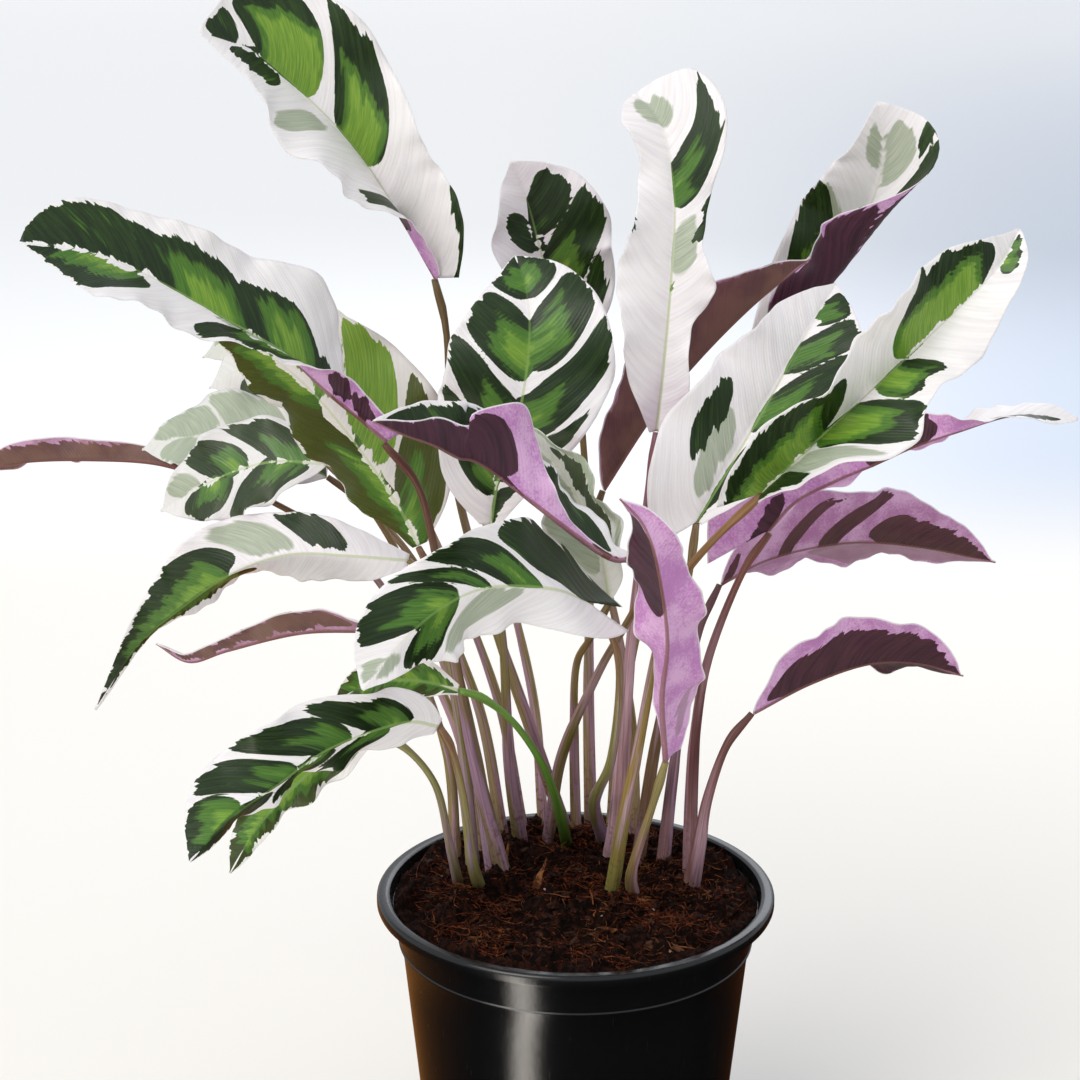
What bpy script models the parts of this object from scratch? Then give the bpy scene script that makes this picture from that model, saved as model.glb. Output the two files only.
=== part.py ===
# Potted white fusion calathea: a black nursery pot, its soil, and 27 leaves, each a stem and a blade.
# Metres, +Z up. The origin is the middle of the pot's underside, which rests on the table.
# The viewer of the photograph stands at -Y, so +X is to the viewer's right.

import math

import bmesh
import bpy
import numpy as np

# Driving dimensions, in millimetres
POT_HEIGHT = 140.0
RIM_RADIUS = 74.5
RIM_WIDTH = 5.0
RIM_DEPTH = 4.5
COLLAR_RADIUS = 66.3
COLLAR_BOTTOM = 121.0
BODY_TOP_RADIUS = 65.4
BASE_RADIUS = 53.0
WALL = 1.8
FLOOR = 2.5
FOOT_HEIGHT = 2.0
FOOT_INSET = 9.0
BOSS_RADIUS = 15.0
TURN_STEPS = 40
DRAIN_HOLES = 6
DRAIN_RADIUS = 5.0
DRAIN_CIRCLE = 32.0
DRAIN_TURN = 3.0
SOIL_EDGE = 135.5
SOIL_MOUND = 4.0
SOIL_ROUGHNESS = 1.5
SOIL_RINGS = (59, 50, 40, 29, 17)
STEM_DEPTH = 16.0
STEM_RISE = 3.0
BLADE_THICKNESS = 0.8
STEM_TOP_RADIUS = 1.3
GAP = 0.3
MM = 0.001

# Each leaf, in millimetres. stem runs from the soil to the blade, rib from there to the tip.
# What follows is given at even stations from base to tip. face is where the upper side looks.
# left and right are the half widths, seen from above with the tip ahead, or one number for a
# plain oval. The folds, in degrees, raise each half towards its upper side, and curl bends its
# margin further the same way. lobe is how far, in degrees, each half sweeps back at the base.
LEAVES = {
    "top_left": dict(
        stem=[(-3, 57, 131), (-16, 39, 186), (-32, 29, 240), (-45, 25, 295), (-47, 25, 345)],
        rib=[(-51, 22, 367), (-75, 14, 410), (-95, 6, 434), (-111, -3, 449), (-127, -14, 456)],
        face=[(0.2, -1, 0.3), (0.1, -1, 0.4), (0.1, -1, 0.5)],
        left=(3, 16, 26, 30, 27, 16, 2), right=(10, 25, 23, 27, 32, 26, 6),
        left_fold=(130, 92, 66, 52, 40, 30), right_fold=(45, 40, 20, 5, 0), curl=(-15, 10),
        root_radius=2.6, lobe=(0, 15),
    ),
    "left_arching": dict(
        stem=[(-27, 3, 131), (-37, -2, 190), (-45, -10, 240), (-51, -17, 280), (-56, -24, 303)],
        rib=[(-66, -31, 320), (-84, -38, 338), (-98, -44, 353), (-116, -52, 366), (-138, -60, 381),
             (-158, -66, 391), (-178, -72, 395)],
        face=[(0.6, 0.1, 0.8), (0.3, -0.1, 0.95), (0.1, -0.3, 0.95)],
        left=(6, 9, 12, 14, 17, 22, 4), right=(3, 3, 22, 30, 27, 24, 22, 20, 17, 9),
        left_fold=(85, 62, -8, -16, -10, -5), right_fold=(20, 35, 48, 50, 45, 40, 35), curl=(0, 10),
        root_radius=2.8, lobe=(20, 0), drop=0.6,
    ),
    "left_inner": dict(
        stem=[(-31, 12, 131), (-37, 12, 185), (-44, 6, 225), (-52, -2, 262)],
        rib=[(-57, -5, 275), (-64, -3, 289), (-79, 1, 311), (-97, 5, 332), (-116, 9, 346),
             (-133, 12, 354)],
        face=[(0.2, -1, 0.2), (0.2, -1, 0.3), (0.1, -1, 0.4)],
        left=(3, 18, 28, 29, 26, 19, 2), right=(4, 26, 34, 33, 28, 18, 2),
        left_fold=(-55, -65, -65, -60), right_fold=(15, 12, 20, 40), curl=(0, -10), root_radius=3.0,
    ),
    "front_centre": dict(
        stem=[(11, 40, 131), (11, 34, 146), (7, 6, 172), (12, -34, 205), (14, -52, 242),
              (10, -62, 262)],
        rib=[(2, -70, 275), (-9, -82, 283), (-30, -97, 288), (-45, -107, 284), (-58, -114, 274),
             (-69, -118, 261)],
        face=[(0.0, -0.5, 0.85), (0.0, -0.8, 0.6), (0.0, -0.9, 0.4)],
        left=(20, 14, 15, 19, 20, 11, 1), right=(26, 24, 22, 19, 17.5, 15, 3),
        left_fold=(-10, -62, -62, -55, -30), right_fold=(0, 8, 34, 18, 0), curl=(10, 10), lobe=(66, 78),
        drop=1.6, root_radius=2.6,
    ),
    "centre_curled": dict(
        stem=[(-10, 46, 131), (-5, 32, 180), (8, -2, 226), (21, -38, 266)],
        rib=[(18, -54, 284), (6, -60, 289), (-30, -66, 319), (-40, -70, 324), (-48, -73, 329),
             (-57, -76, 333), (-67, -78, 338)],
        face=[(0.3, 0.6, 0.5), (0.35, 0.8, 0.5), (0.1, 0.2, 1)],
        left=(1.5, 2, 3, 5, 10, 19, 25, 12, 9, 5, 2), right=(3, 14, 17, 18, 20, 15, 3),
        left_fold=(80, 75, 62, 58, 60, 70), right_fold=(70, 78, 80, 70), curl=(20, 10), root_radius=2.3,
    ),
    "centre_hidden": dict(
        stem=[(1, 48, 131), (0, 44, 180), (0, 14, 222), (5, -20, 246)],
        rib=[(11, -28, 262), (7, -29, 283), (-3, -28, 304), (-13, -28, 317), (-24, -28, 326)],
        face=[(0.1, -1, 0.2), (0.1, -1, 0.3), (0.1, -1, 0.3)],
        left=18, right=14, left_fold=(40, 30, 30, 30), right_fold=(55, 60, 60, 50), curl=(0, 0),
        root_radius=2.0,
    ),
    "centre_upright": dict(
        stem=[(-21, 42, 131), (-25, 28, 180), (-27, 8, 235), (-31, -2, 265)],
        rib=[(-31, -5, 283), (-28, -9, 301), (-20, -11, 328), (-17, -8, 351), (-18, 0, 366),
             (-22, 10, 377)],
        face=[(0.0, -1, 0.1), (0, -1, 0.1), (0, -0.8, 0.6)],
        left=(4, 20, 27, 29, 27, 18, 3), right=(3, 12, 20, 28, 30, 22, 4), left_fold=(20, 12, 15, 15),
        right_fold=(20, 15, 15, 15), curl=(-15, -15), root_radius=2.8,
    ),
    "back_upright": dict(
        stem=[(7, 57, 131), (6, 67, 190), (6, 72, 250), (3, 72, 300)],
        rib=[(0, 70, 330), (-6, 68, 351), (-12, 66, 366), (-17, 64, 385), (-21, 62, 397),
             (-24, 60, 404)],
        face=[(0.1, -1, 0.1), (0, -1, 0.2), (0, -1, 0.3)],
        left=(3, 14, 20, 21, 19, 13, 2), right=(3, 17, 24, 27, 28, 21, 3), left_fold=(30, 30, 35, 20),
        right_fold=(10, 10, 10, 10), curl=(0, -10), root_radius=2.5,
    ),
    "tall_white": dict(
        stem=[(14, 18, 131), (16, 6, 169), (20, 0, 238), (25, 0, 290)],
        rib=[(28, 0, 316), (30, -4, 340), (32, -6, 370), (33, -3, 398), (29, 3, 422), (20, 10, 434)],
        face=[(0, -1, 0.0), (0, -1, 0.1), (0, -1, 0.4)],
        left=(3, 10, 15, 18, 19, 18, 14, 11, 13, 12), right=(3, 11, 11, 9, 17, 11, 12, 20, 23, 13),
        left_fold=(35, 25, 25, 25), right_fold=(40, 30, 20, 20), curl=(-10, 0), root_radius=3.6,
    ),
    "behind_tall": dict(
        stem=[(24, 42, 131), (22, 44, 190), (14, 34, 240), (4, 22, 268)],
        rib=[(10, 21, 289), (26, 23, 314), (42, 26, 334), (63, 30, 355), (85, 36, 372)],
        face=[(-0.6, 0.4, 0.6), (-0.4, 0.8, 0.4), (-0.4, 0.8, 0.3)],
        left=22, right=22, left_fold=(30, 40, 60, 50), right_fold=(30, 20, 10, 10), curl=(0, 0),
        root_radius=2.3,
    ),
    "right_upper": dict(
        stem=[(25, 27, 131), (30, 16, 190), (37, 0, 240), (40, -9, 266)],
        rib=[(42, -15, 287), (51, -13, 302), (66, -5, 326), (80, 5, 349), (92, 16, 366)],
        face=[(-0.2, -1, 0.2), (-0.1, -1, 0.3), (0, -1, 0.4)],
        left=(16, 28, 29, 25, 20, 13, 2), right=(3, 15, 22, 26, 27, 20, 3), left_fold=(35, 30, 30, 20),
        right_fold=(45, 42, 30, 15), curl=(-10, 0), root_radius=2.6, lobe=(60, 0),
    ),
    "right_large": dict(
        stem=[(13, -14, 131), (17, -32, 183), (21, -39, 210), (27, -46, 250), (33, -50, 273),
              (43, -56, 290)],
        rib=[(60, -65, 311), (81, -76, 336), (102, -82, 359), (122, -84, 380), (132, -82, 391),
             (137, -78, 400)],
        face=[(-0.2, -0.9, 0.5), (-0.1, -0.9, 0.4), (-0.1, -1, 0.3)],
        left=(16, 21, 21, 22, 25, 18, 2), right=(8, 15, 22, 28, 28, 19, 17, 13, 9, 3),
        left_fold=(50, 60, 66, 58, 45, 30), right_fold=(70, 62, 40, 20, 30), curl=(0, -15),
        root_radius=2.6, lobe=(60, 0),
    ),
    "far_right": dict(
        stem=[(44, 16, 131), (44, 16, 170), (45, 12, 200), (49, 8, 229), (60, 4, 262)],
        rib=[(69, 2, 279), (78, 0, 290), (92, -4, 299), (105, -8, 306), (117, -12, 313),
             (131, -18, 320), (150, -26, 328), (170, -32, 328)],
        face=[(-0.3, 0.5, 0.8), (0.0, 0.4, 1), (0.0, 0.1, 1), (0.1, -0.6, 0.8)],
        left=(4, 9, 10, 9, 9, 12, 12, 8, 2), right=(26, 28, 25, 19, 14, 9, 9, 7, 2),
        left_fold=(10, 10, 10, 0), right_fold=(62, 60, 58, 50, 20, 0), curl=(0, 0), root_radius=2.8,
        lobe=(0, 72),
    ),
    "top_right": dict(
        stem=[(15, 50, 131), (19, 60, 190), (32, 64, 250), (48, 63, 295)],
        rib=[(66, 61, 322), (88, 58, 354), (105, 55, 380), (112, 52, 404), (109, 48, 427)],
        face=[(-0.6, -0.8, 0.2), (-0.4, -0.9, 0.3), (0.1, -1, 0.3)],
        left=(3, 12, 19, 23, 23, 16, 2), right=(3, 20, 28, 30, 33, 30, 5),
        left_fold=(30, 25, 25, 20, 10), right_fold=(20, 20, 20, 15, 0),
        curl=(0, (172, 172, 172, 170, 105, 0)), root_radius=2.3,
    ),
    "right_level": dict(
        stem=[(34, 22, 131), (37, 26, 170), (42, 40, 200), (49, 54, 225)],
        rib=[(57, 62, 240), (74, 70, 247), (96, 80, 250), (118, 90, 249), (144, 98, 244),
             (172, 105, 236)],
        face=[(-0.3, 0.7, 0.6), (0.0, 0.8, 0.5), (0.1, 0.7, 0.7)],
        left=24, right=25, left_fold=(20, 20, 20, 10), right_fold=(25, 15, 15, 20), curl=(0, 10),
        root_radius=2.6,
    ),
    "right_low": dict(
        stem=[(44, 5, 131), (46, -2, 158), (49, 0, 176), (56, 5, 195)],
        rib=[(66, 10, 206), (88, 20, 214), (111, 28, 219), (131, 34, 217), (149, 40, 210)],
        face=[(-0.4, 0.6, 0.7), (-0.1, 0.55, 0.8), (0.1, 0.6, 0.7)],
        left=20, right=21, left_fold=(30, 20, 10, 10), right_fold=(35, 45, 40, 30), curl=(0, 0),
        root_radius=3.2,
    ),
    "front_twisted": dict(
        stem=[(21, -7, 131), (21, -12, 143), (20, -32, 162), (26, -47, 192)],
        rib=[(30, -54, 212), (28, -64, 238), (29, -73, 262), (25, -83, 290), (20, -88, 306),
             (12, -91, 316)],
        face=[(-0.3, 0.9, 0), (0.2, 0.9, 0.1), (0.6, 0.6, 0.3)],
        left=(8, 17, 16, 15, 12, 8, 1), right=(1, 3, 8, 13, 13, 10, 1), left_fold=(35, 50, 60, 50),
        right_fold=(85, 60, 30, 20, 20), curl=(-20, 0), root_radius=2.5,
    ),
    "front_left_low": dict(
        stem=[(-36, -1, 131), (-38, -30, 165), (-40, -56, 200), (-43, -70, 222)],
        rib=[(-47, -79, 234), (-56, -88, 239), (-69, -98, 239), (-83, -108, 236), (-96, -117, 229),
             (-111, -124, 220), (-124, -128, 207)],
        face=[(0, -0.6, 0.8), (0, -0.75, 0.6), (-0.2, -0.9, 0.4)],
        left=(3, 12, 14, 12, 9, 8, 2), right=(3, 12, 16, 18, 19, 16, 3), left_fold=(-80, -88, -88, -80),
        right_fold=(62, 55, 22, 0), curl=(0, 0), root_radius=2.3,
    ),
    "left_low": dict(
        stem=[(-44, 2, 131), (-46, -28, 170), (-50, -46, 200), (-61, -57, 219)],
        rib=[(-73, -60, 222), (-85, -63, 217), (-98, -68, 207), (-110, -72, 194), (-119, -74, 179)],
        face=[(0, -0.6, 0.8), (-0.3, -0.8, 0.5), (-0.5, -0.8, 0.2)],
        left=(3, 9, 9, 7, 5, 4, 1), right=(3, 11, 13, 12, 9, 6, 1), left_fold=(-40, -55, -55, -40),
        right_fold=(20, 20, 20, 10), curl=(0, 0), root_radius=1.8,
    ),
    "front_green": dict(
        stem=[(-3, 38, 131), (-6, 6, 168), (-12, -14, 194), (-22, -24, 214), (-33, -30, 226)],
        rib=[(-42, -35, 231), (-52, -38, 235), (-63, -41, 237), (-74, -44, 236), (-84, -46, 231)],
        face=[(0, -0.4, 0.9), (0, -0.6, 0.8), (-0.2, -0.8, 0.5)],
        left=(2, 5, 6, 5, 3), right=(2, 7, 9, 7, 2), left_fold=(-10, -20, -20, -10),
        right_fold=(40, 40, 30, 20), curl=(0, 0), root_radius=2.0,
    ),
    "left_middle": dict(
        stem=[(-39, 18, 131), (-42, 22, 180), (-48, 26, 222), (-57, 29, 252)],
        rib=[(-63, 31, 259), (-86, 40, 258), (-109, 48, 256), (-131, 54, 247), (-153, 58, 231),
             (-171, 60, 215), (-189, 62, 188)],
        face=[(0, -0.4, 0.9), (0, -0.6, 0.8), (-0.5, -0.6, 0.6)],
        left=(3, 12, 16, 14, 9, 4, 2, 1), right=(3, 12, 17, 21, 19, 11, 4, 1),
        left_fold=(-60, -95, -110, -100, -80), right_fold=(10, 20, 30, 60, 60), curl=(0, 0),
        root_radius=2.6,
    ),
    "left_upper": dict(
        stem=[(-36, 32, 131), (-44, 46, 190), (-62, 58, 240), (-80, 66, 271)],
        rib=[(-96, 70, 286), (-115, 75, 286), (-132, 80, 281), (-149, 85, 272), (-164, 89, 262)],
        face=[(0, -0.3, 0.9), (0, -0.5, 0.8), (-0.3, -0.6, 0.7)],
        left=20, right=20, left_fold=(-20, -20, -20, -20), right_fold=(20, 30, 30, 30), curl=(0, 0),
        root_radius=2.1,
    ),
    "back_left_pale": dict(
        stem=[(-28, 48.5, 131), (-38, 64, 190), (-61, 80, 240), (-84, 87, 266)],
        rib=[(-98, 90, 276), (-121, 100, 284), (-142, 110, 287), (-160, 117, 285), (-176, 122, 279)],
        face=[(0, -0.3, 0.9), (0, -0.4, 0.9), (-0.2, -0.4, 0.9)],
        left=22, right=24, left_fold=(-10, -10, -10, -10), right_fold=(20, 20, 20, 10), curl=(0, 0),
        root_radius=2.3,
    ),
    "back_left_curled": dict(
        stem=[(-20, 53, 131), (-31, 77, 190), (-57, 101, 250), (-78, 110, 284)],
        rib=[(-92, 116, 300), (-108, 122, 309), (-124, 129, 312), (-138, 135, 309), (-150, 139, 301)],
        face=[(0, -0.3, 0.9), (0, -0.5, 0.9), (-0.2, -0.5, 0.8)],
        left=17, right=17, left_fold=(-30, -40, -40, -20), right_fold=(20, 20, 20, 0), curl=(0, 0),
        root_radius=2.0,
    ),
    "back_left_top": dict(
        stem=[(-12, 56.5, 131), (-17, 86, 190), (-36, 116, 250), (-66, 138, 291)],
        rib=[(-84, 146, 306), (-102, 154, 316), (-122, 162, 319), (-141, 168, 316), (-157, 172, 307)],
        face=[(0, -0.2, 0.9), (0, -0.4, 0.9), (-0.2, -0.4, 0.8)],
        left=18, right=18, left_fold=(-20, -30, -30, -20), right_fold=(20, 20, 20, 0), curl=(0, 0),
        root_radius=2.0,
    ),
    "far_left": dict(
        stem=[(-36, 42, 131), (-49, 68, 185), (-83, 97, 236), (-126, 114, 261)],
        rib=[(-154, 124, 268), (-174, 131, 271), (-200, 140, 270), (-228, 149, 267), (-254, 157, 261)],
        face=[(0, 0.8, 0.5), (0, 0.8, 0.5), (-0.1, 0.8, 0.5)],
        left=(2, 6, 8, 9, 10, 8, 1), right=(2, 6, 8, 9, 10, 8, 1), left_fold=(70, 50, 40, 20),
        right_fold=(70, 60, 50, 20), curl=(0, 0), root_radius=2.1,
    ),
    "left_curled": dict(
        stem=[(-46, 27, 131), (-48, 24, 180), (-58, 20, 218), (-67, 19, 231)],
        rib=[(-77, 20, 235), (-103, 26, 232), (-131, 32, 223), (-147, 36, 217), (-160, 40, 223)],
        face=[(0.2, 0.6, 0.8), (0, 0.8, 0.5), (0.3, 0.3, 0.9)],
        left=(3, 8, 9, 7, 5, 4, 1), right=(3, 9, 10, 7, 5, 4, 1), left_fold=(30, 40, 50, 30),
        right_fold=(60, 65, 60, 40), curl=(0, 0), root_radius=2.1,
    ),
}

BLADE_ROWS = 15
BLADE_COLUMNS = 7
STEM_POINTS = 9
WIDEST = 0.42
LOBE_END = 0.35
LOBE_DROP = 0.9
WAVES = 3.5
WAVE_HEIGHT = 2.8

# Colours, roughness and metallic value of each material
COLOURS = {
    "pot_plastic": ((0.012, 0.012, 0.013, 1), 0.28, 0.0),
    "coir_soil": ((0.030, 0.014, 0.010, 1), 0.95, 0.0),
    "leaf_green_white": ((0.30, 0.42, 0.22, 1), 0.45, 0.0),
    "leaf_underside_purple": ((0.36, 0.16, 0.30, 1), 0.50, 0.0),
    "stem_mauve": ((0.36, 0.20, 0.24, 1), 0.50, 0.0),
    "stem_olive": ((0.20, 0.20, 0.08, 1), 0.50, 0.0),
}
PURPLE_LEAVES = (
    "centre_curled", "behind_tall", "right_level", "right_low", "front_twisted", "far_left", "left_curled",
)
MAUVE_STEMS = (
    "tall_white", "right_level", "far_right", "right_low", "front_twisted", "left_inner", "centre_upright",
)


def clear_scene():
    for obj in list(bpy.data.objects):
        bpy.data.objects.remove(obj, do_unlink=True)


def make_collection(name):
    collection = bpy.data.collections.new(name)
    bpy.context.scene.collection.children.link(collection)
    return collection


def make_material(name):
    colour, roughness, metallic = COLOURS[name]
    material = bpy.data.materials.new(name)
    material.use_nodes = True
    shader = material.node_tree.nodes["Principled BSDF"]
    shader.inputs["Base Color"].default_value = colour
    shader.inputs["Roughness"].default_value = roughness
    shader.inputs["Metallic"].default_value = metallic
    material.diffuse_color = colour
    return material


def station_values(values, share):
    """Values given at even stations, read at each share of the way along a Catmull-Rom curve through them."""
    values = np.array(values, float)
    ends = np.concatenate([2 * values[:1] - values[1:2], values, 2 * values[-1:] - values[-2:-1]])
    place = np.clip(share, 0, 1) * (len(values) - 1)
    i = np.minimum(place.astype(int), len(values) - 2)
    t = (place - i).reshape(-1, *[1] * (values.ndim - 1))
    a, b, c, d = ends[i], ends[i + 1], ends[i + 2], ends[i + 3]
    return 0.5 * (2 * b + (c - a) * t + (2 * a - 5 * b + 4 * c - d) * t**2 + (3 * b - a - 3 * c + d) * t**3)


def smooth_path(points, count):
    """count points spaced evenly along a smooth curve through the given ones."""
    fine = station_values(points, np.linspace(0, 1, 24 * (len(points) - 1) + 1))
    run = np.concatenate([[0], np.cumsum(np.linalg.norm(np.diff(fine, axis=0), axis=1))])
    wanted = np.linspace(0, run[-1], count)
    return np.stack([np.interp(wanted, run, fine[:, k]) for k in range(3)], axis=1)


def unit(vectors):
    return vectors / np.linalg.norm(vectors, axis=-1, keepdims=True)


def half_width(leaf, side, share):
    """How far a half reaches from the midrib: as given at the stations, or a plain oval of that width."""
    widths = leaf[side]
    if isinstance(widths, tuple):
        width = station_values(widths, share)
    else:
        base = np.clip(share / WIDEST, 0, 1)
        tip = np.clip((share - WIDEST) / (1 - WIDEST), 0, 1)
        width = widths * np.where(share < WIDEST, np.sin(base * math.pi / 2) ** 0.7, 1 - tip**2.3)
    return np.maximum(width * np.clip((1 - share) / 0.06, 0, 1) ** 0.35, 0.5)


def blade_surface(leaf, rows, columns):
    """A grid of points, rows x columns, over the middle of a blade's thickness."""
    share = np.linspace(0, 1, rows)
    rib = smooth_path(leaf["rib"], rows)
    along = unit(np.gradient(rib, axis=0))
    face = station_values(leaf["face"], share)
    upper = unit(face - (face * along).sum(axis=1, keepdims=True) * along)
    across = np.cross(along, upper)
    grid = np.empty((rows, columns, 3))
    phase = sum(leaf["rib"][0]) * 0.7
    for j, place in enumerate(np.linspace(-1, 1, columns)):
        side, sign = ("right", 1) if place > 0 else ("left", -1)
        reach = abs(place)
        width = half_width(leaf, side, share)
        fold = np.radians(station_values(leaf[side + "_fold"], share))
        curl = leaf["curl"][sign > 0]
        curl = np.radians(station_values(curl, share) if isinstance(curl, tuple) else curl)
        curl = np.where(np.abs(curl) < 1e-4, 1e-4, curl)
        out = (np.sin(fold + curl * reach) - np.sin(fold)) / curl * width
        lift = (np.cos(fold) - np.cos(fold + curl * reach)) / curl * width
        wave = WAVE_HEIGHT * reach**2 * np.sin(2 * math.pi * WAVES * share + phase + sign)
        wave *= np.clip(width / 8, 0, 1) * np.sin(math.pi * share)
        up = np.cos(fold)[:, None] * upper - sign * np.sin(fold)[:, None] * across
        back = np.radians(leaf.get("lobe", (0, 0))[sign > 0] * np.clip(1 - share / LOBE_END, 0, 1) ** 2)
        outward = sign * out[:, None] * across + lift[:, None] * upper
        behind = (np.sin(back) * reach * width)[:, None] * along
        grid[:, j] = rib + np.cos(back)[:, None] * outward - behind + wave[:, None] * up
    return grid


def grid_normals(grid):
    down = np.gradient(grid, axis=0)
    over = np.gradient(grid, axis=1)
    return unit(np.cross(over, down))


def make_blade(name, leaf, material, collection):
    """A thin closed sheet: the grid's upper face, its lower face and the rim between them."""
    grid = blade_surface(leaf, BLADE_ROWS, BLADE_COLUMNS)
    normals = grid_normals(grid)
    shape = bmesh.new()
    sheets = []
    for offset in (0.5, -0.5):
        points = grid - normals * BLADE_THICKNESS * offset
        sheets.append([[shape.verts.new(p * MM) for p in row] for row in points])
    for sheet, turn in zip(sheets, (1, -1)):
        for i in range(BLADE_ROWS - 1):
            for j in range(BLADE_COLUMNS - 1):
                a, b, c, d = sheet[i][j], sheet[i][j + 1], sheet[i + 1][j + 1], sheet[i + 1][j]
                shape.faces.new((a, b, c)[::turn])
                shape.faces.new((a, c, d)[::turn])
    last_row, last_column = BLADE_ROWS - 1, BLADE_COLUMNS - 1
    rim = [(0, j) for j in range(last_column)] + [(i, last_column) for i in range(last_row)]
    rim += [(last_row, j) for j in range(last_column, 0, -1)] + [(i, 0) for i in range(last_row, 0, -1)]
    for (i, j), (k, m) in zip(rim, rim[1:] + rim[:1]):
        shape.faces.new((sheets[0][k][m], sheets[0][i][j], sheets[1][i][j], sheets[1][k][m]))
    bmesh.ops.recalc_face_normals(shape, faces=shape.faces[:])
    return finish_mesh(name, shape, material, collection)


def finish_mesh(name, shape, material, collection):
    mesh = bpy.data.meshes.new(name)
    shape.to_mesh(mesh)
    shape.free()
    mesh.shade_smooth()
    mesh.set_sharp_from_angle(angle=math.radians(40))
    mesh.materials.append(material)
    obj = bpy.data.objects.new(name, mesh)
    collection.objects.link(obj)
    return obj


def stem_route(leaf):
    """The stem's points: straight down in the soil, then up to just short of the blade or under its lobes."""
    top = np.array(leaf["rib"][0], float)
    ahead = unit(np.array(leaf["rib"][1], float) - top)
    x, y, _ = leaf["stem"][0]
    surface = np.array([x, y, soil_height(x, y) + STEM_RISE])
    end = top - ahead * (BLADE_THICKNESS / 2 + 2 * GAP)
    if "lobe" in leaf:
        face = np.array(leaf["face"][0], float)
        end -= unit(face - (face @ ahead) * ahead) * leaf.get("drop", LOBE_DROP)
    points = smooth_path([tuple(surface)] + leaf["stem"][1:] + [tuple(end)], STEM_POINTS)
    return np.vstack([surface - (0, 0, STEM_DEPTH), points])


def stem_radii(leaf, count):
    """Thick and sheathed at the soil, thin for most of its length."""
    share = np.linspace(0, 1, count)
    return STEM_TOP_RADIUS + (leaf["root_radius"] - STEM_TOP_RADIUS) * (1 - share) ** 1.3


def make_tube(name, points, radii, material, collection):
    curve = bpy.data.curves.new(name, "CURVE")
    curve.dimensions = "3D"
    curve.bevel_depth = MM
    curve.bevel_resolution = 1
    curve.use_fill_caps = True
    spline = curve.splines.new("POLY")
    spline.points.add(len(points) - 1)
    for point, place, radius in zip(spline.points, points, radii):
        point.co = (*(place * MM), 1)
        point.radius = radius
    if material:
        curve.materials.append(material)
    obj = bpy.data.objects.new(name, curve)
    collection.objects.link(obj)
    return obj


def make_turned(name, profile, steps, material, collection):
    """A closed profile of (radius, height) turned round the Z axis, open only along the axis."""
    mesh = bpy.data.meshes.new(name)
    points = [(r * MM, 0, z * MM) for r, z in profile]
    following = list(range(1, len(points))) + [0]
    edges = [(i, j) for i, j in enumerate(following) if points[i][0] or points[j][0]]
    mesh.from_pydata(points, edges, [])
    mesh.materials.append(material)
    obj = bpy.data.objects.new(name, mesh)
    collection.objects.link(obj)
    screw = obj.modifiers.new("Turn", "SCREW")
    screw.steps = steps
    screw.render_steps = steps
    screw.use_merge_vertices = True
    screw.merge_threshold = 0.00001
    screw.use_smooth_shade = True
    return obj


def pot_radius(height):
    """The outer radius of the pot's tapered body at a height."""
    return BASE_RADIUS + (BODY_TOP_RADIUS - BASE_RADIUS) * height / COLLAR_BOTTOM


def rim_arc():
    """The rolled rim, from its inner edge over the top to its outer lower edge."""
    inner = RIM_RADIUS - RIM_WIDTH
    corner = 1.6
    points = [(inner, POT_HEIGHT - 1.0), (inner + 1.2, POT_HEIGHT)]
    for angle in np.radians([90, 55, 20]):
        radius = RIM_RADIUS - corner + corner * math.cos(angle)
        points.append((radius, POT_HEIGHT - corner + corner * math.sin(angle)))
    points.append((RIM_RADIUS, POT_HEIGHT - RIM_DEPTH + 0.8))
    points.append((RIM_RADIUS - 0.8, POT_HEIGHT - RIM_DEPTH))
    return points


def make_pot(material, collection, cutters):
    collar_top = COLLAR_RADIUS + (POT_HEIGHT - RIM_DEPTH - COLLAR_BOTTOM) * 0.1
    outside = rim_arc() + [
        (collar_top, POT_HEIGHT - RIM_DEPTH),
        (COLLAR_RADIUS, COLLAR_BOTTOM + 0.5),
        (pot_radius(COLLAR_BOTTOM), COLLAR_BOTTOM),
        (pot_radius(60), 60),
        (BASE_RADIUS, 3),
        (BASE_RADIUS - 1, 0.8),
        (BASE_RADIUS - 2.5, 0),
    ]
    underside = [
        (BASE_RADIUS - FOOT_INSET, 0),
        (BASE_RADIUS - FOOT_INSET - 1, FOOT_HEIGHT),
        (BOSS_RADIUS + 1, FOOT_HEIGHT),
        (BOSS_RADIUS, 0),
        (0, 0),
    ]
    inside = [
        (0, FOOT_HEIGHT + FLOOR),
        (BASE_RADIUS - WALL - 1, FOOT_HEIGHT + FLOOR),
        (pot_radius(COLLAR_BOTTOM) - WALL, COLLAR_BOTTOM),
    ]
    pot = make_turned("pot", outside + underside + inside, TURN_STEPS, material, collection)
    for i in range(DRAIN_HOLES):
        turn = 2 * math.pi * (i + 0.5) / DRAIN_HOLES + math.radians(DRAIN_TURN)
        place = (DRAIN_CIRCLE * math.cos(turn) * MM, DRAIN_CIRCLE * math.sin(turn) * MM, 2 * MM)
        shape = bmesh.new()
        bmesh.ops.create_cone(shape, cap_ends=True, segments=8, radius1=DRAIN_RADIUS * MM,
                              radius2=DRAIN_RADIUS * MM, depth=20 * MM)
        bmesh.ops.translate(shape, vec=place, verts=shape.verts[:])
        hole = finish_mesh(f"drain_cutter_{i + 1}", shape, material, cutters)
        hide_cutter(hole)
        cut(pot, hole)
    return pot


def hide_cutter(obj):
    obj.hide_render = True
    obj.display_type = "WIRE"


def cut(obj, cutter):
    boolean = obj.modifiers.new("Cut " + cutter.name, "BOOLEAN")
    boolean.operation = "DIFFERENCE"
    boolean.object = cutter


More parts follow.
